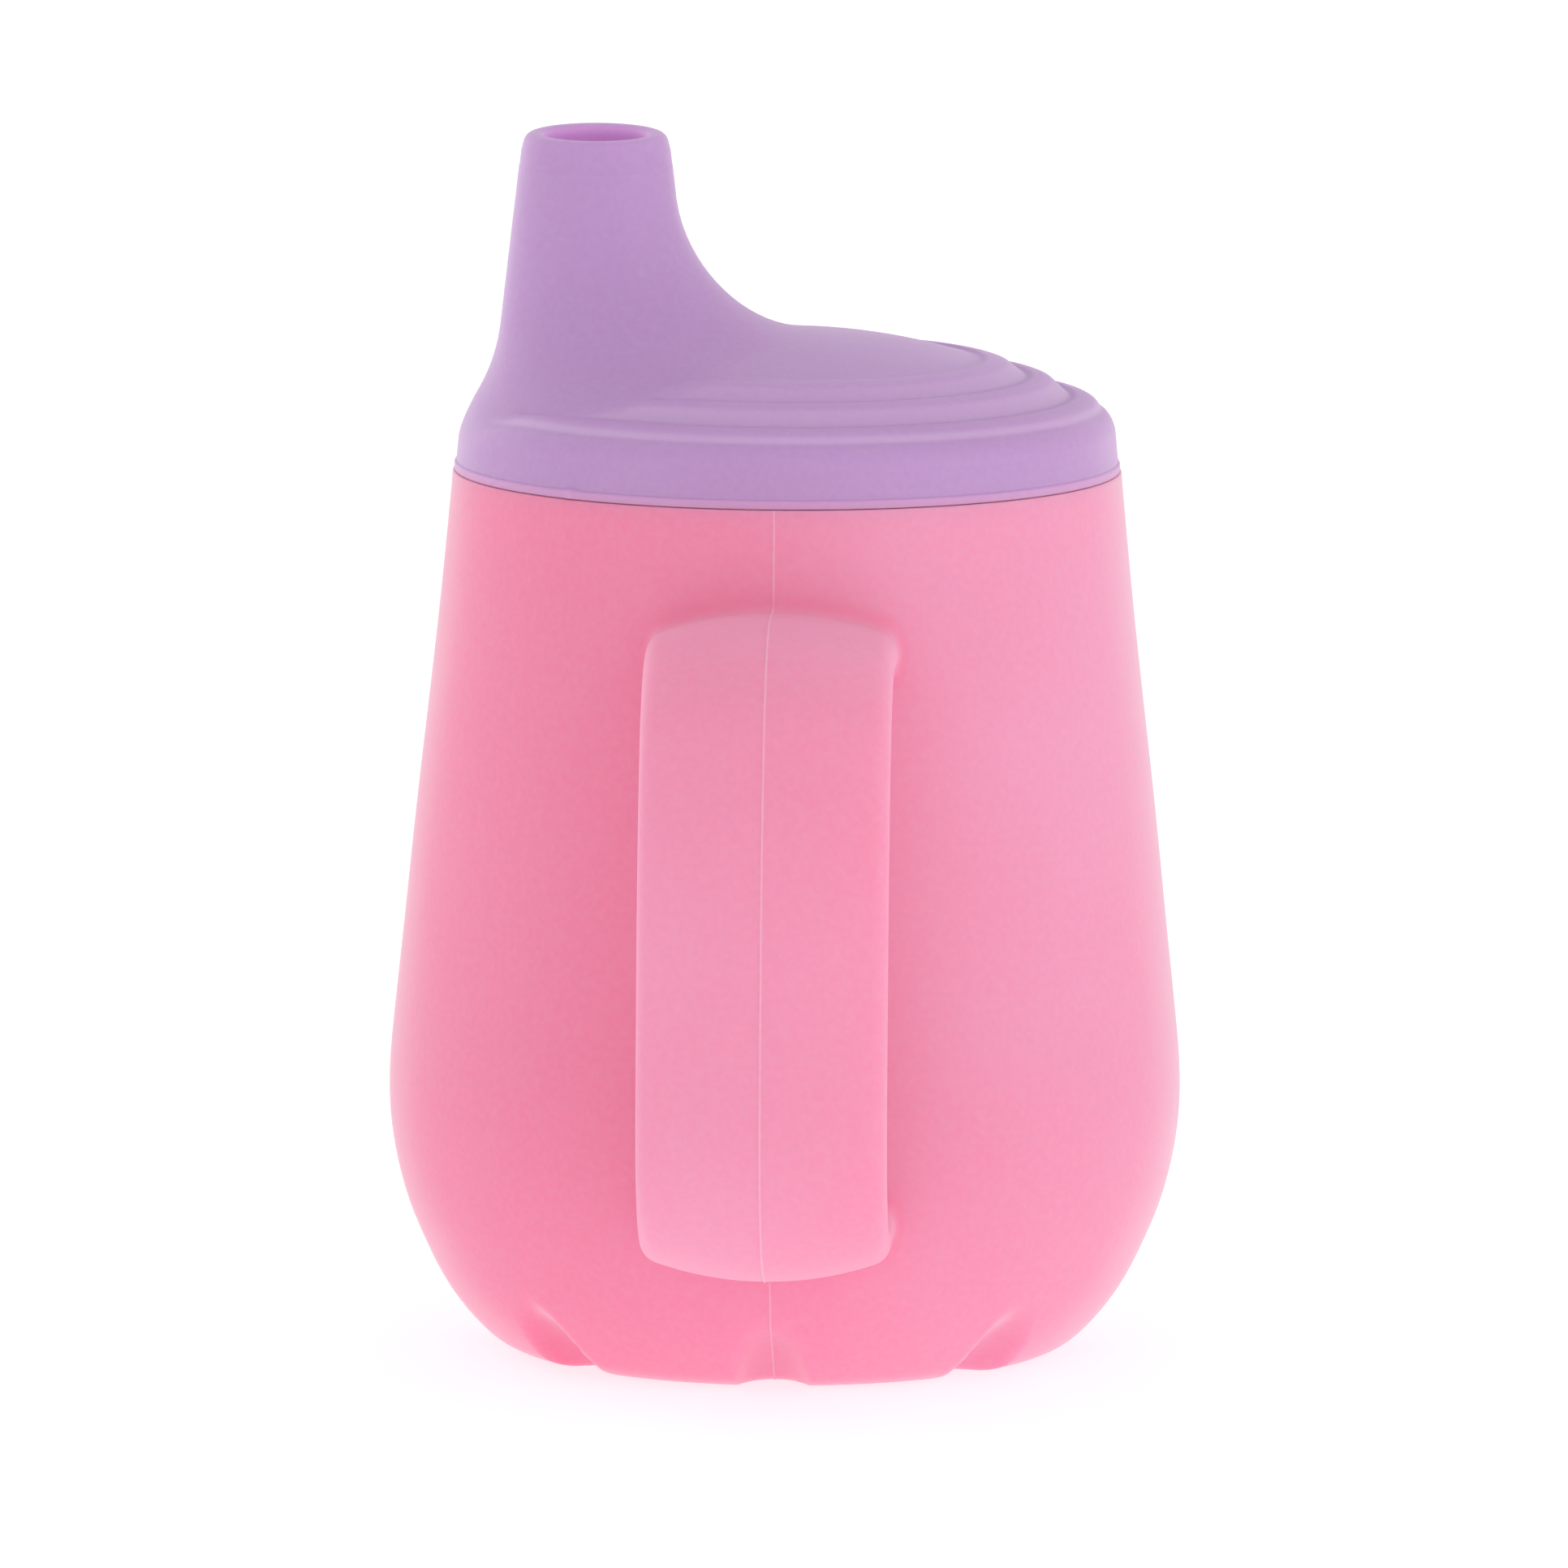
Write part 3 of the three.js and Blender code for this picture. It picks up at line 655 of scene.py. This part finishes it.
def sweep_ring(field, zone, t, end_offset):
    """Ring at part t of the way from the zone line to the spout, cast out along 45 degrees.
    An offset is a ray's distance from the spout's axis less its height."""
    start = cast(field, ring(zone, lid_angle, 90), UP, 24)
    angle = spout_angles(zone)
    start_offset = np.hypot(start[:, 0] - SPOUT_X, start[:, 1]) - start[:, 2]
    offset = start_offset * (1 - t) + end_offset * t
    r = -14.0
    direction = np.stack([np.cos(angle), np.sin(angle), np.ones(LID_COLUMNS)], axis=1)
    origin = ring(r, angle, r - offset, SPOUT_X)
    return cast(field, origin, direction * math.sqrt(0.5), 80)


zone_out, zone_in = zone_line(ZONE_SPOUT_OUT), zone_line(ZONE_SPOUT_IN)
spout_out, spout_in = spout_angles(zone_out), spout_angles(zone_in)


def skirt_rings():
    """From the groove's outer wall, round the lower edge and its bead, and up the skirt."""
    rings = [ring(GROOVE_OUT_R, lid_angle, z) for z in (GROOVE_TOP_Z, 94.6, 93.0, 92.2)]
    for r, z in arc(GROOVE_OUT_R + 0.3, LID_BOTTOM_Z + 0.3, 0.3, 180, 270, 4):
        rings.append(ring(r, lid_angle, z))
    rings.append(ring(32.9, lid_angle, LID_BOTTOM_Z))
    bead = np.concatenate([
        arc(LIP_R - 0.12, LID_BOTTOM_Z + 0.12, 0.12, -88, 0, 5),
        arc(LIP_R - 0.34, LID_BOTTOM_Z + 0.60, 0.34, 0, 70, 6),
    ])
    off_nub = (lid_angle - NUB_AZIMUTH + math.pi) % TAU - math.pi
    nub_shape = NUB_HEIGHT * np.exp(-((off_nub * 34 + 0.2) / 0.75) ** 2)
    for r, z in bead:
        nub = nub_shape * (1 if z > LID_BOTTOM_Z + 0.1 else 0.3)
        lift = 0.5 * nub if z > LID_BOTTOM_Z + 0.4 else 0
        rings.append(ring(r + nub, lid_angle, z + lift))
    for z, proud in ((92.52, 0.02), (92.7, 0)):
        rings.append(ring(skirt_r(z) + proud, lid_angle, z))
    return rings


def dome_rings():
    """Over the shoulder, across the dome and up the spout's flare to the straight cone."""
    hub_r, hub_z = 31.4, 95.2       # rays over the shoulder fan out from here
    dome_start = 32.45
    rings = []
    first = cast(outside_field, ring(squeeze(dome_start, zone_out, 1.3), lid_angle, 92), UP, 22)
    start = math.radians(-38)
    end = np.arctan2(first[:, 2] - hub_z, np.hypot(first[:, 0], first[:, 1]) - hub_r)
    for t in np.concatenate([np.linspace(0, 0.33, 7), np.linspace(0.37, 0.97, 20)]):
        elevation = start + (end - start) * t
        direction = ring(np.cos(elevation), lid_angle, np.sin(elevation))
        rings.append(cast(outside_field, ring(hub_r, lid_angle, hub_z), direction, 9))
    for r in np.arange(dome_start, 19.7, -0.2):
        origin = ring(squeeze(r, zone_out, 1.3), lid_angle, 92)
        rings.append(cast(outside_field, origin, UP, 22))
    sweeps = 30
    end_offset = cone_r(CONE_START_Z) - CONE_START_Z
    for k in range(1, sweeps):
        rings.append(sweep_ring(outside_field, zone_out, k / sweeps, end_offset))
    for z in (CONE_START_Z, 119.8, 120.6, 121.4, 122.1, 122.45, 122.62, 122.72, 122.85,
              123.3, 123.9):
        step = RIM_STEP if z > RIM_STEP_Z else 0
        rings.append(ring(cone_r(z) - step, spout_out, z, SPOUT_X))
    return rings


def spout_rings():
    """Over the spout's rim, down the bore and round the collar's lower end."""
    rim = spline([
        [cone_r(124.1) - RIM_STEP, 124.1], [7.47, 124.8], [7.28, 125.35], [6.92, 125.73],
        [6.4, 125.9], [5.9, 125.9], [5.48, 125.72], [5.22, 125.32], [5.16, 124.9],
        [bore_r(124.5), 124.5],
    ], 0.22)
    rings = [ring(r, spout_out, z, SPOUT_X) for r, z in rim[:-1]]
    for z in (124.5, 123.5, 121, 118, 114, 110, 106, 103.5):
        rings.append(ring(bore_r(z), spout_out, z, SPOUT_X))
    bottom = COLLAR_BOTTOM_Z
    collar_bore = bore_r(bottom)
    collar_r = cone_r(bottom) - COLLAR_INSET
    for r, z in (
        (bore_r(bottom + 0.4), bottom + 0.4), (collar_bore + 0.15, bottom + 0.1),
        (collar_bore + 0.4, bottom), (collar_r - 0.4, bottom),
        (collar_r - 0.12, bottom + 0.1), (collar_r, bottom + 0.4),
    ):
        rings.append(ring(r, spout_in, z, SPOUT_X))
    return rings


def collar_ring(z):
    return ring(cone_r(z) - COLLAR_INSET, spout_in, z, SPOUT_X)


def underside_rings():
    """Up the collar to where it meets the underside of the dome, then out to the plug."""
    start = COLLAR_BOTTOM_Z + 0.4
    meet = bisect(lambda z: inside_field(collar_ring(z)), 100.0, 118.0)
    meet = np.maximum(meet, COLLAR_BOTTOM_Z + 0.6)
    rings = [collar_ring(start + (meet - start) * t) for t in (0.35, 0.7, 0.92)]
    meet_offset = (cone_r(meet) - COLLAR_INSET) - meet
    for t in np.linspace(0.97, 0.06, 14):
        rings.append(sweep_ring(inside_field, zone_in, t, meet_offset))
    radii = [np.minimum(squeeze(r, zone_in, 0.4), PLUG_IN_R - 0.2)
             for r in (ZONE_R, 21.5, 23.5, 25.5, 27.0, 27.6)]
    for r in radii + [PLUG_IN_R]:
        rings.append(cast(inside_field, ring(r, lid_angle, 90), UP, 24))
    return rings


def plug_rings():
    """Round the plug that goes down inside the cup's neck, and to the groove's top."""
    return [ring(r, lid_angle, z) for r, z in (
        (PLUG_IN_R, 96.5), (PLUG_IN_R, 94.2), (PLUG_IN_R, 93.6),
        (PLUG_IN_R + 0.15, PLUG_BOTTOM_Z + 0.06), (PLUG_IN_R + 0.4, PLUG_BOTTOM_Z),
        (PLUG_R - 0.4, PLUG_BOTTOM_Z), (PLUG_R - 0.1, PLUG_BOTTOM_Z + 0.12),
        (PLUG_R, 93.8), (PLUG_R, 95.2), (PLUG_R, 96.1),
        (PLUG_R + 0.2, GROOVE_TOP_Z), (GROOVE_OUT_R - 0.2, GROOVE_TOP_Z),
    )]


def build_lid():
    rings = skirt_rings() + dome_rings()
    below_rim = len(rings) * LID_COLUMNS
    rings += spout_rings() + underside_rings() + plug_rings()
    points = np.concatenate(rings)
    x, y, z = points.T
    spout_distance = np.hypot(x - SPOUT_X, y)
    points[:, 2] += TIP_DIP * y * smooth(114.0, 125.0, z) * (spout_distance < 9.5)
    ids = np.arange(len(points)).reshape(-1, LID_COLUMNS)
    faces = []
    for ids_a, ids_b in zip(ids, np.roll(ids, -1, axis=0)):
        faces += bridge(ids_a, ids_b)

    # where light comes through: the bore of the spout, and the bead along the lower edge
    r = np.hypot(x, y)
    off_bore = spout_distance - BORE_TAPER * (BORE_TOP_Z - z)
    bore = np.where((z > 101) & (spout_distance < 7.4), 1 - smooth(5.3, 5.9, off_bore), 0)
    lip = np.where(r > 33.0, np.exp(-((z - LID_BOTTOM_Z - 0.35) / 0.42) ** 2), 0)
    # painted light and shade: the falling flank of each ring is painted paler, the rising one
    # deeper
    slope = (relief(r + 0.12) - relief(r - 0.12)) / 0.24
    on_dome = (z > 96.5) & (r < 32.3) & (spout_distance > 12)
    ring_light_and_shade = np.where(on_dome, -slope * relief_fade(r, spout_distance) * 1.5, 0)
    ring_light_and_shade[below_rim:] = 0
    return mesh_object("lid_visual", points, faces, sharp=58, attributes={
        "bore": bore,
        "lip": lip,
        "ring_painted_highlight": np.clip(ring_light_and_shade, 0, 1),
        "ring_painted_shade": np.clip(-ring_light_and_shade, 0, 1),
    })


lid = build_lid()

# ------------------------------------------------------------------ flow valve
VALVE_CLEARANCE = 0.3
VALVE_TOP_Z, VALVE_BOTTOM_Z = 110.0, 99.4
VALVE_FLANGE_R = 7.9
VALVE_COLUMNS = 120
BAR_SIZE = (12.7, 1.8, 2.6)
SLIT_LENGTH, SLIT_WIDTH, SLIT_DEPTH, SLIT_Z = 5.0, 0.22, 6, 108


def valve_r(z):
    return bore_r(z) - VALVE_CLEARANCE


def valve_body():
    """Hollow plug with a flange at its foot and a dished top."""
    bottom = VALVE_BOTTOM_Z
    outer_side = np.concatenate([
        [[6.2, bottom + 0.15]],
        arc(6.35, bottom + 0.2, 0.2, 225, 270, 3),
        arc(VALVE_FLANGE_R - 0.5, bottom + 0.5, 0.5, 270, 360, 7),
        arc(VALVE_FLANGE_R - 0.35, 100.35, 0.35, 0, 90, 5),
        line([7.45, 100.7], [valve_r(100.9) + 0.05, 100.75], 2),
        [[valve_r(z), z] for z in np.linspace(101.1, 109.2, 12)],
        arc(valve_r(109.4) - 0.6, VALVE_TOP_Z - 0.6, 0.6, 8, 90, 7),
        spline([[4.7, VALVE_TOP_Z], [4.1, 109.75], [3.2, 109.0], [1.6, 108.2],
                [0.35, 107.95]], 0.4),
    ])
    inner_side = np.concatenate([
        spline([[0.35, 106.92], [1.6, 107.2], [3.2, 108.0], [4.4, 108.4], [5.0, 107.6]], 0.5),
        line([5.2, 106.8], [6.2, 100.0], 8),
    ])
    outline = np.concatenate([outer_side, inner_side])
    angle = TAU * np.arange(VALVE_COLUMNS) / VALVE_COLUMNS
    points = np.concatenate([ring(r, angle, z, SPOUT_X) for r, z in outline])
    ids = np.arange(len(points)).reshape(-1, VALVE_COLUMNS)
    upper, lower = len(outer_side) - 1, len(outer_side)    # rows next to the two poles
    faces = []
    for row in range(len(outline)):
        if row != upper:
            faces += bridge(ids[row], ids[(row + 1) % len(outline)])
    upper_pole, lower_pole = len(points), len(points) + 1
    for k in range(VALVE_COLUMNS):
        k2 = (k + 1) % VALVE_COLUMNS
        faces.append((ids[upper, k], ids[upper, k2], upper_pole))
        faces.append((ids[lower, k2], ids[lower, k], lower_pole))
    poles = [[SPOUT_X, 0, 107.94], [SPOUT_X, 0, 106.9]]
    return mesh_object("flow_valve_visual", np.concatenate([points, poles]), faces)


def box_object(name, size, z, bevel=0.0):
    """Box on the spout's axis."""
    bm = bmesh.new()
    bmesh.ops.create_cube(bm, size=1.0)
    bmesh.ops.scale(bm, vec=Vector(size) * MM, verts=bm.verts)
    if bevel:
        bmesh.ops.bevel(bm, geom=bm.edges[:], offset=bevel * MM, segments=3, profile=0.5,
                        affect="EDGES")
    bmesh.ops.translate(bm, vec=Vector((SPOUT_X, 0, z)) * MM, verts=bm.verts)
    mesh = bpy.data.meshes.new(name)
    bm.to_mesh(mesh)
    bm.free()
    return link_object(name, mesh)


def apply_boolean(obj, other, operation):
    modifier = obj.modifiers.new("b", "BOOLEAN")
    modifier.operation = operation
    modifier.solver = "EXACT"
    modifier.object = other
    depsgraph = bpy.context.evaluated_depsgraph_get()
    mesh = bpy.data.meshes.new_from_object(obj.evaluated_get(depsgraph), depsgraph=depsgraph)
    obj.modifiers.remove(modifier)
    obj.data = mesh
    bpy.data.objects.remove(other)


def build_valve():
    """The plug with a bar across its foot and a cross slit through its top."""
    obj = valve_body()
    bar = box_object("bar", BAR_SIZE, VALVE_BOTTOM_Z + BAR_SIZE[2] / 2, bevel=0.35)
    apply_boolean(obj, bar, "UNION")
    for name, size in (("slit_a", (SLIT_LENGTH, SLIT_WIDTH, SLIT_DEPTH)),
                       ("slit_b", (SLIT_WIDTH, SLIT_LENGTH, SLIT_DEPTH))):
        apply_boolean(obj, box_object(name, size, SLIT_Z), "DIFFERENCE")
    # the cuts leave slivers: weld them away, so that the valve is one clean closed skin
    bm = bmesh.new()
    bm.from_mesh(obj.data)
    bmesh.ops.triangulate(bm, faces=bm.faces)
    bmesh.ops.remove_doubles(bm, verts=bm.verts, dist=4e-6)
    bmesh.ops.dissolve_degenerate(bm, dist=2e-6, edges=bm.edges)
    bmesh.ops.recalc_face_normals(bm, faces=bm.faces)
    bm.to_mesh(obj.data)
    bm.free()
    obj.data.shade_smooth()
    obj.data.set_sharp_from_angle(angle=math.radians(35))
    return obj


valve = build_valve()

for piece in (body, lid, valve):
    piece.data.transform(Matrix.Translation((0, 0, -FOOT_Z * MM)))


# ------------------------------------------------------------------ shader nodes
def srgb(*channels):
    """Linear RGBA from 0-255 sRGB channels."""
    def linear(c):
        c /= 255
        return c / 12.92 if c <= 0.04045 else ((c + 0.055) / 1.055) ** 2.4
    return tuple(linear(c) for c in channels) + (1.0,)


def feed(node, inputs):
    """Sets each named input to a value, or links it when given an output socket."""
    for key, value in inputs.items():
        socket = node.inputs[key]
        if isinstance(value, bpy.types.NodeSocket):
            node.id_data.links.new(value, socket)
        else:
            socket.default_value = value


def add_node(tree, kind, inputs=None, **settings):
    node = tree.nodes.new("ShaderNode" + kind)
    for key, value in settings.items():
        setattr(node, key, value)
    feed(node, inputs or {})
    return node


def map_range(tree, value, to, source=(0.0, 1.0), interpolation="LINEAR"):
    return add_node(tree, "MapRange", {
        "Value": value,
        "From Min": source[0], "From Max": source[1],
        "To Min": to[0], "To Max": to[1],
    }, interpolation_type=interpolation).outputs["Result"]


def component(tree, vector, axis):
    return add_node(tree, "SeparateXYZ", {"Vector": vector}).outputs[axis]


class Silicone:
    def __init__(self, name, base, deep, pale):
        self.material = bpy.data.materials.new(name)
        self.material.use_nodes = True
        self.tree = self.material.node_tree
        self.tree.nodes.clear()
        self.colour, self.deep, self.pale = base, deep, pale
        self.skin = self.add("BsdfPrincipled")
        self.add("OutputMaterial", {"Surface": self.skin.outputs["BSDF"]})
        self.position = self.add("TexCoord").outputs["Object"]
        # broad, slow change of pigment
        broad = self.noise(scale=22.0, detail=2.0)
        self.tint(deep, map_range(self.tree, broad, source=(0.3, 0.7), to=(0.0, 0.35)))

    def add(self, kind, inputs=None, **settings):
        return add_node(self.tree, kind, inputs, **settings)

    def noise(self, scale, detail):
        inputs = {"Vector": self.position, "Scale": scale, "Detail": detail}
        return self.add("TexNoise", inputs).outputs["Fac"]

    def attribute(self, name):
        return self.add("Attribute", attribute_name=name).outputs["Fac"]

    def product(self, a, b):
        return self.add("Math", {0: a, 1: b}, operation="MULTIPLY").outputs["Value"]

    def tint(self, colour, amount):
        inputs = {"A": self.colour, "B": colour, "Factor": amount}
        self.colour = self.add("Mix", inputs, data_type="RGBA").outputs["Result"]

    def mottle(self):
        """Fine mottle of the moulded skin."""
        self.fine = self.noise(scale=1400.0, detail=3.0)
        amount = map_range(self.tree, self.fine, source=(0.35, 0.75), to=(0.0, 0.10))
        self.tint(self.pale, amount)

    def edge_on(self, most):
        """Painted light: how much paler the translucent skin is painted where it is seen
        edge-on, for light coming through it.
        """
        facing = self.add("LayerWeight", {"Blend": 0.5}).outputs["Facing"]
        return map_range(self.tree, facing, source=(0.55, 1.0), to=(0.0, most),
                         interpolation="SMOOTHSTEP")

    def finish(self, scatter):
        """Satin roughness in patches, fine grain, moulding ripple and light in the depth."""
        patch = self.noise(scale=60.0, detail=4.0)
        rough = 0.46
        grain = self.add("Bump", {"Strength": 0.10, "Distance": 0.00006, "Height": self.fine})
        ripple = self.add("Bump", {"Strength": 0.12, "Distance": 0.0004, "Height": patch,
                                   "Normal": grain.outputs["Normal"]})
        feed(self.skin, {
            "Base Color": self.colour,
            "Roughness": map_range(self.tree, patch, source=(0.3, 0.7),
                                   to=(rough - 0.05, rough + 0.07)),
            "Normal": ripple.outputs["Normal"],
            "IOR": 1.41,
            "Specular IOR Level": 0.42,
            "Subsurface Weight": 0.55,
            "Subsurface Radius": scatter,
            "Subsurface Scale": 3.0 * MM,
            "Sheen Weight": 0.12,
            "Sheen Roughness": 0.55,
            "Sheen Tint": self.pale,
        })
        return self.material


def cup_silicone():
    cup = Silicone("cup_silicone", base=srgb(241, 157, 190), deep=srgb(247, 123, 160),
                   pale=srgb(243, 201, 216))
    # painted shade: the wall is painted deeper pink towards -X, the side away from the key light
    side = map_range(cup.tree, component(cup.tree, cup.position, "X"),
                     source=(0.020, -0.026), to=(0.0, 0.6), interpolation="SMOOTHSTEP")
    cup.tint(cup.deep, cup.product(side, cup.attribute("wall")))
    cup.mottle()
    # only the thin wall lets light through at its edge; the solid strap hardly does
    thinness = map_range(cup.tree, cup.attribute("wall"), to=(0.22, 1.0))
    cup.tint(cup.pale, cup.product(cup.edge_on(most=0.5), thinness))
    # the raised mould line catches the light, so it reads paler
    x = component(cup.tree, cup.position, "X")
    off_seam = cup.add("Math", {0: x}, operation="ABSOLUTE").outputs["Value"]
    cup.tint(cup.pale, map_range(cup.tree, off_seam, source=(0.00015, 0.00004),
                                 to=(0.0, 0.35), interpolation="SMOOTHSTEP"))
    # painted shade: the crease where the strap grows out of the wall is painted deeper pink
    cup.tint(cup.deep, cup.product(cup.attribute("crease_shade"), 0.5))
    return cup.finish(scatter=(1.0, 0.35, 0.5))


def lid_silicone():
    top = Silicone("lid_silicone", base=srgb(194, 154, 204), deep=srgb(176, 132, 190),
                   pale=srgb(219, 190, 224))
    top.mottle()
    # painted light: the skirt and spout are painted paler where seen edge-on; the thick dome
    # keeps its deep colour where it faces up
    normal = top.add("NewGeometry").outputs["Normal"]
    sideways = map_range(top.tree, component(top.tree, normal, "Z"), source=(0.3, 0.8),
                         to=(1.0, 0.25))
    top.tint(top.pale, top.product(top.edge_on(most=0.45), sideways))
    # painted light: the bead along the lower edge is painted pinker where light comes through,
    # and the rings' flanks painted paler and deeper as highlight and shade
    for name, colour, most in (("lip", srgb(226, 158, 206), 0.75),
                               ("ring_painted_highlight", top.pale, 0.44), ("ring_painted_shade", top.deep, 0.80)):
        top.tint(colour, top.product(top.attribute(name), most))
    # the bore of the spout is lit through
    feed(top.skin, {
        "Emission Color": srgb(190, 106, 172),
        "Emission Strength": top.product(top.attribute("bore"), 0.24),
    })
    return top.finish(scatter=(0.9, 0.6, 1.0))


def valve_silicone():
    plug = Silicone("valve_silicone", base=srgb(228, 214, 234), deep=srgb(212, 196, 222),
                    pale=srgb(244, 238, 246))
    plug.mottle()
    # painted light: the plug is painted paler where seen edge-on, for light coming through it
    plug.tint(plug.pale, plug.edge_on(most=0.6))
    return plug.finish(scatter=(1.0, 0.9, 1.0))


for obj, material, node_name, body_name, slot_name in (
    (body, cup_silicone(), "cup_body", "cup", "cup_silicone"),
    (lid, lid_silicone(), "lid", "lid", "lid_silicone"),
    (valve, valve_silicone(), "flow_valve", "valve", "valve_silicone"),
):
    obj.data.materials.clear()
    obj.data.materials.append(material)
    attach(obj, body_name)
    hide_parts(node_name)


# ------------------------------------------------------------------ floor, light, camera
def build_floor():
    """Evenly bright paper, a hair below the foot."""
    bm = bmesh.new()
    bmesh.ops.create_grid(bm, x_segments=4, y_segments=4, size=3.0)
    mesh = bpy.data.meshes.new("floor")
    bm.to_mesh(mesh)
    bm.free()
    floor = link_object("floor", mesh)
    floor.location.z = -0.02 * MM
    paper = bpy.data.materials.new("floor_paper")
    paper.use_nodes = True
    feed(paper.node_tree.nodes["Principled BSDF"], {
        "Base Color": (0.5, 0.5, 0.503, 1),
        "Roughness": 0.9,
        "Specular IOR Level": 0.1,
        "Emission Color": (1, 1, 1, 1),
        "Emission Strength": 0.66,
    })
    mesh.materials.append(paper)


def build_world(horizon, zenith, seen):
    """White studio that lights less from above; the camera sees an even `seen` strength."""
    world = bpy.data.worlds.new("studio")
    bpy.context.scene.world = world
    world.use_nodes = True
    tree = world.node_tree
    direction = add_node(tree, "TexCoord").outputs["Generated"]
    light = map_range(tree, component(tree, direction, "Z"), source=(0.05, 0.95),
                      to=(horizon, zenith), interpolation="SMOOTHSTEP")
    is_camera = add_node(tree, "LightPath").outputs["Is Camera Ray"]
    feed(tree.nodes["Background"], {
        "Color": (1, 1, 1, 1),
        "Strength": map_range(tree, is_camera, to=(light, seen)),
    })


def add_area_light(name, location, size, power):
    """Rectangular light aimed at the middle of the cup."""
    light = bpy.data.lights.new(name, "AREA")
    light.shape = "RECTANGLE"
    light.size, light.size_y = size
    light.energy = power
    obj = link_object(name, light)
    obj.location = location
    obj.rotation_mode = "QUATERNION"
    aim = Vector((0, 0, 0.06)) - Vector(location)
    obj.rotation_quaternion = aim.to_track_quat("-Z", "Y")


def add_camera(target, azimuth, elevation, distance, frame_width, roll):
    """Camera on the -Y side, with frame_width in view at the target."""
    data = bpy.data.cameras.new("camera")
    camera = link_object("camera", data)
    back = Vector((math.sin(azimuth) * math.cos(elevation),
                   -math.cos(azimuth) * math.cos(elevation), math.sin(elevation)))
    camera.location = Vector(target) + back * distance
    camera.rotation_mode = "QUATERNION"
    look = (-back).to_track_quat("-Z", "Y")
    camera.rotation_quaternion = look @ Quaternion((0, 0, 1), roll)
    data.sensor_width = 36.0
    data.lens = 36.0 * distance / frame_width
    data.clip_start, data.clip_end = 0.05, 20.0
    bpy.context.scene.camera = camera


build_floor()
build_world(horizon=0.93, zenith=0.74, seen=1.02)
add_area_light("key_right", location=(0.85, -0.50, 0.30), size=(0.6, 0.8), power=1.3)
add_area_light("back_left", location=(-0.6, 0.55, 0.35), size=(0.5, 0.6), power=0.8)
add_camera(target=(-0.0002, 0.0, 0.0582), azimuth=math.radians(2.2),
           elevation=math.radians(8.0), distance=2.0, frame_width=0.161, roll=0.0040)

view = bpy.context.scene.view_settings
view.view_transform = "Standard"
view.look = "None"
view.exposure = 0.0
view.gamma = 1.0
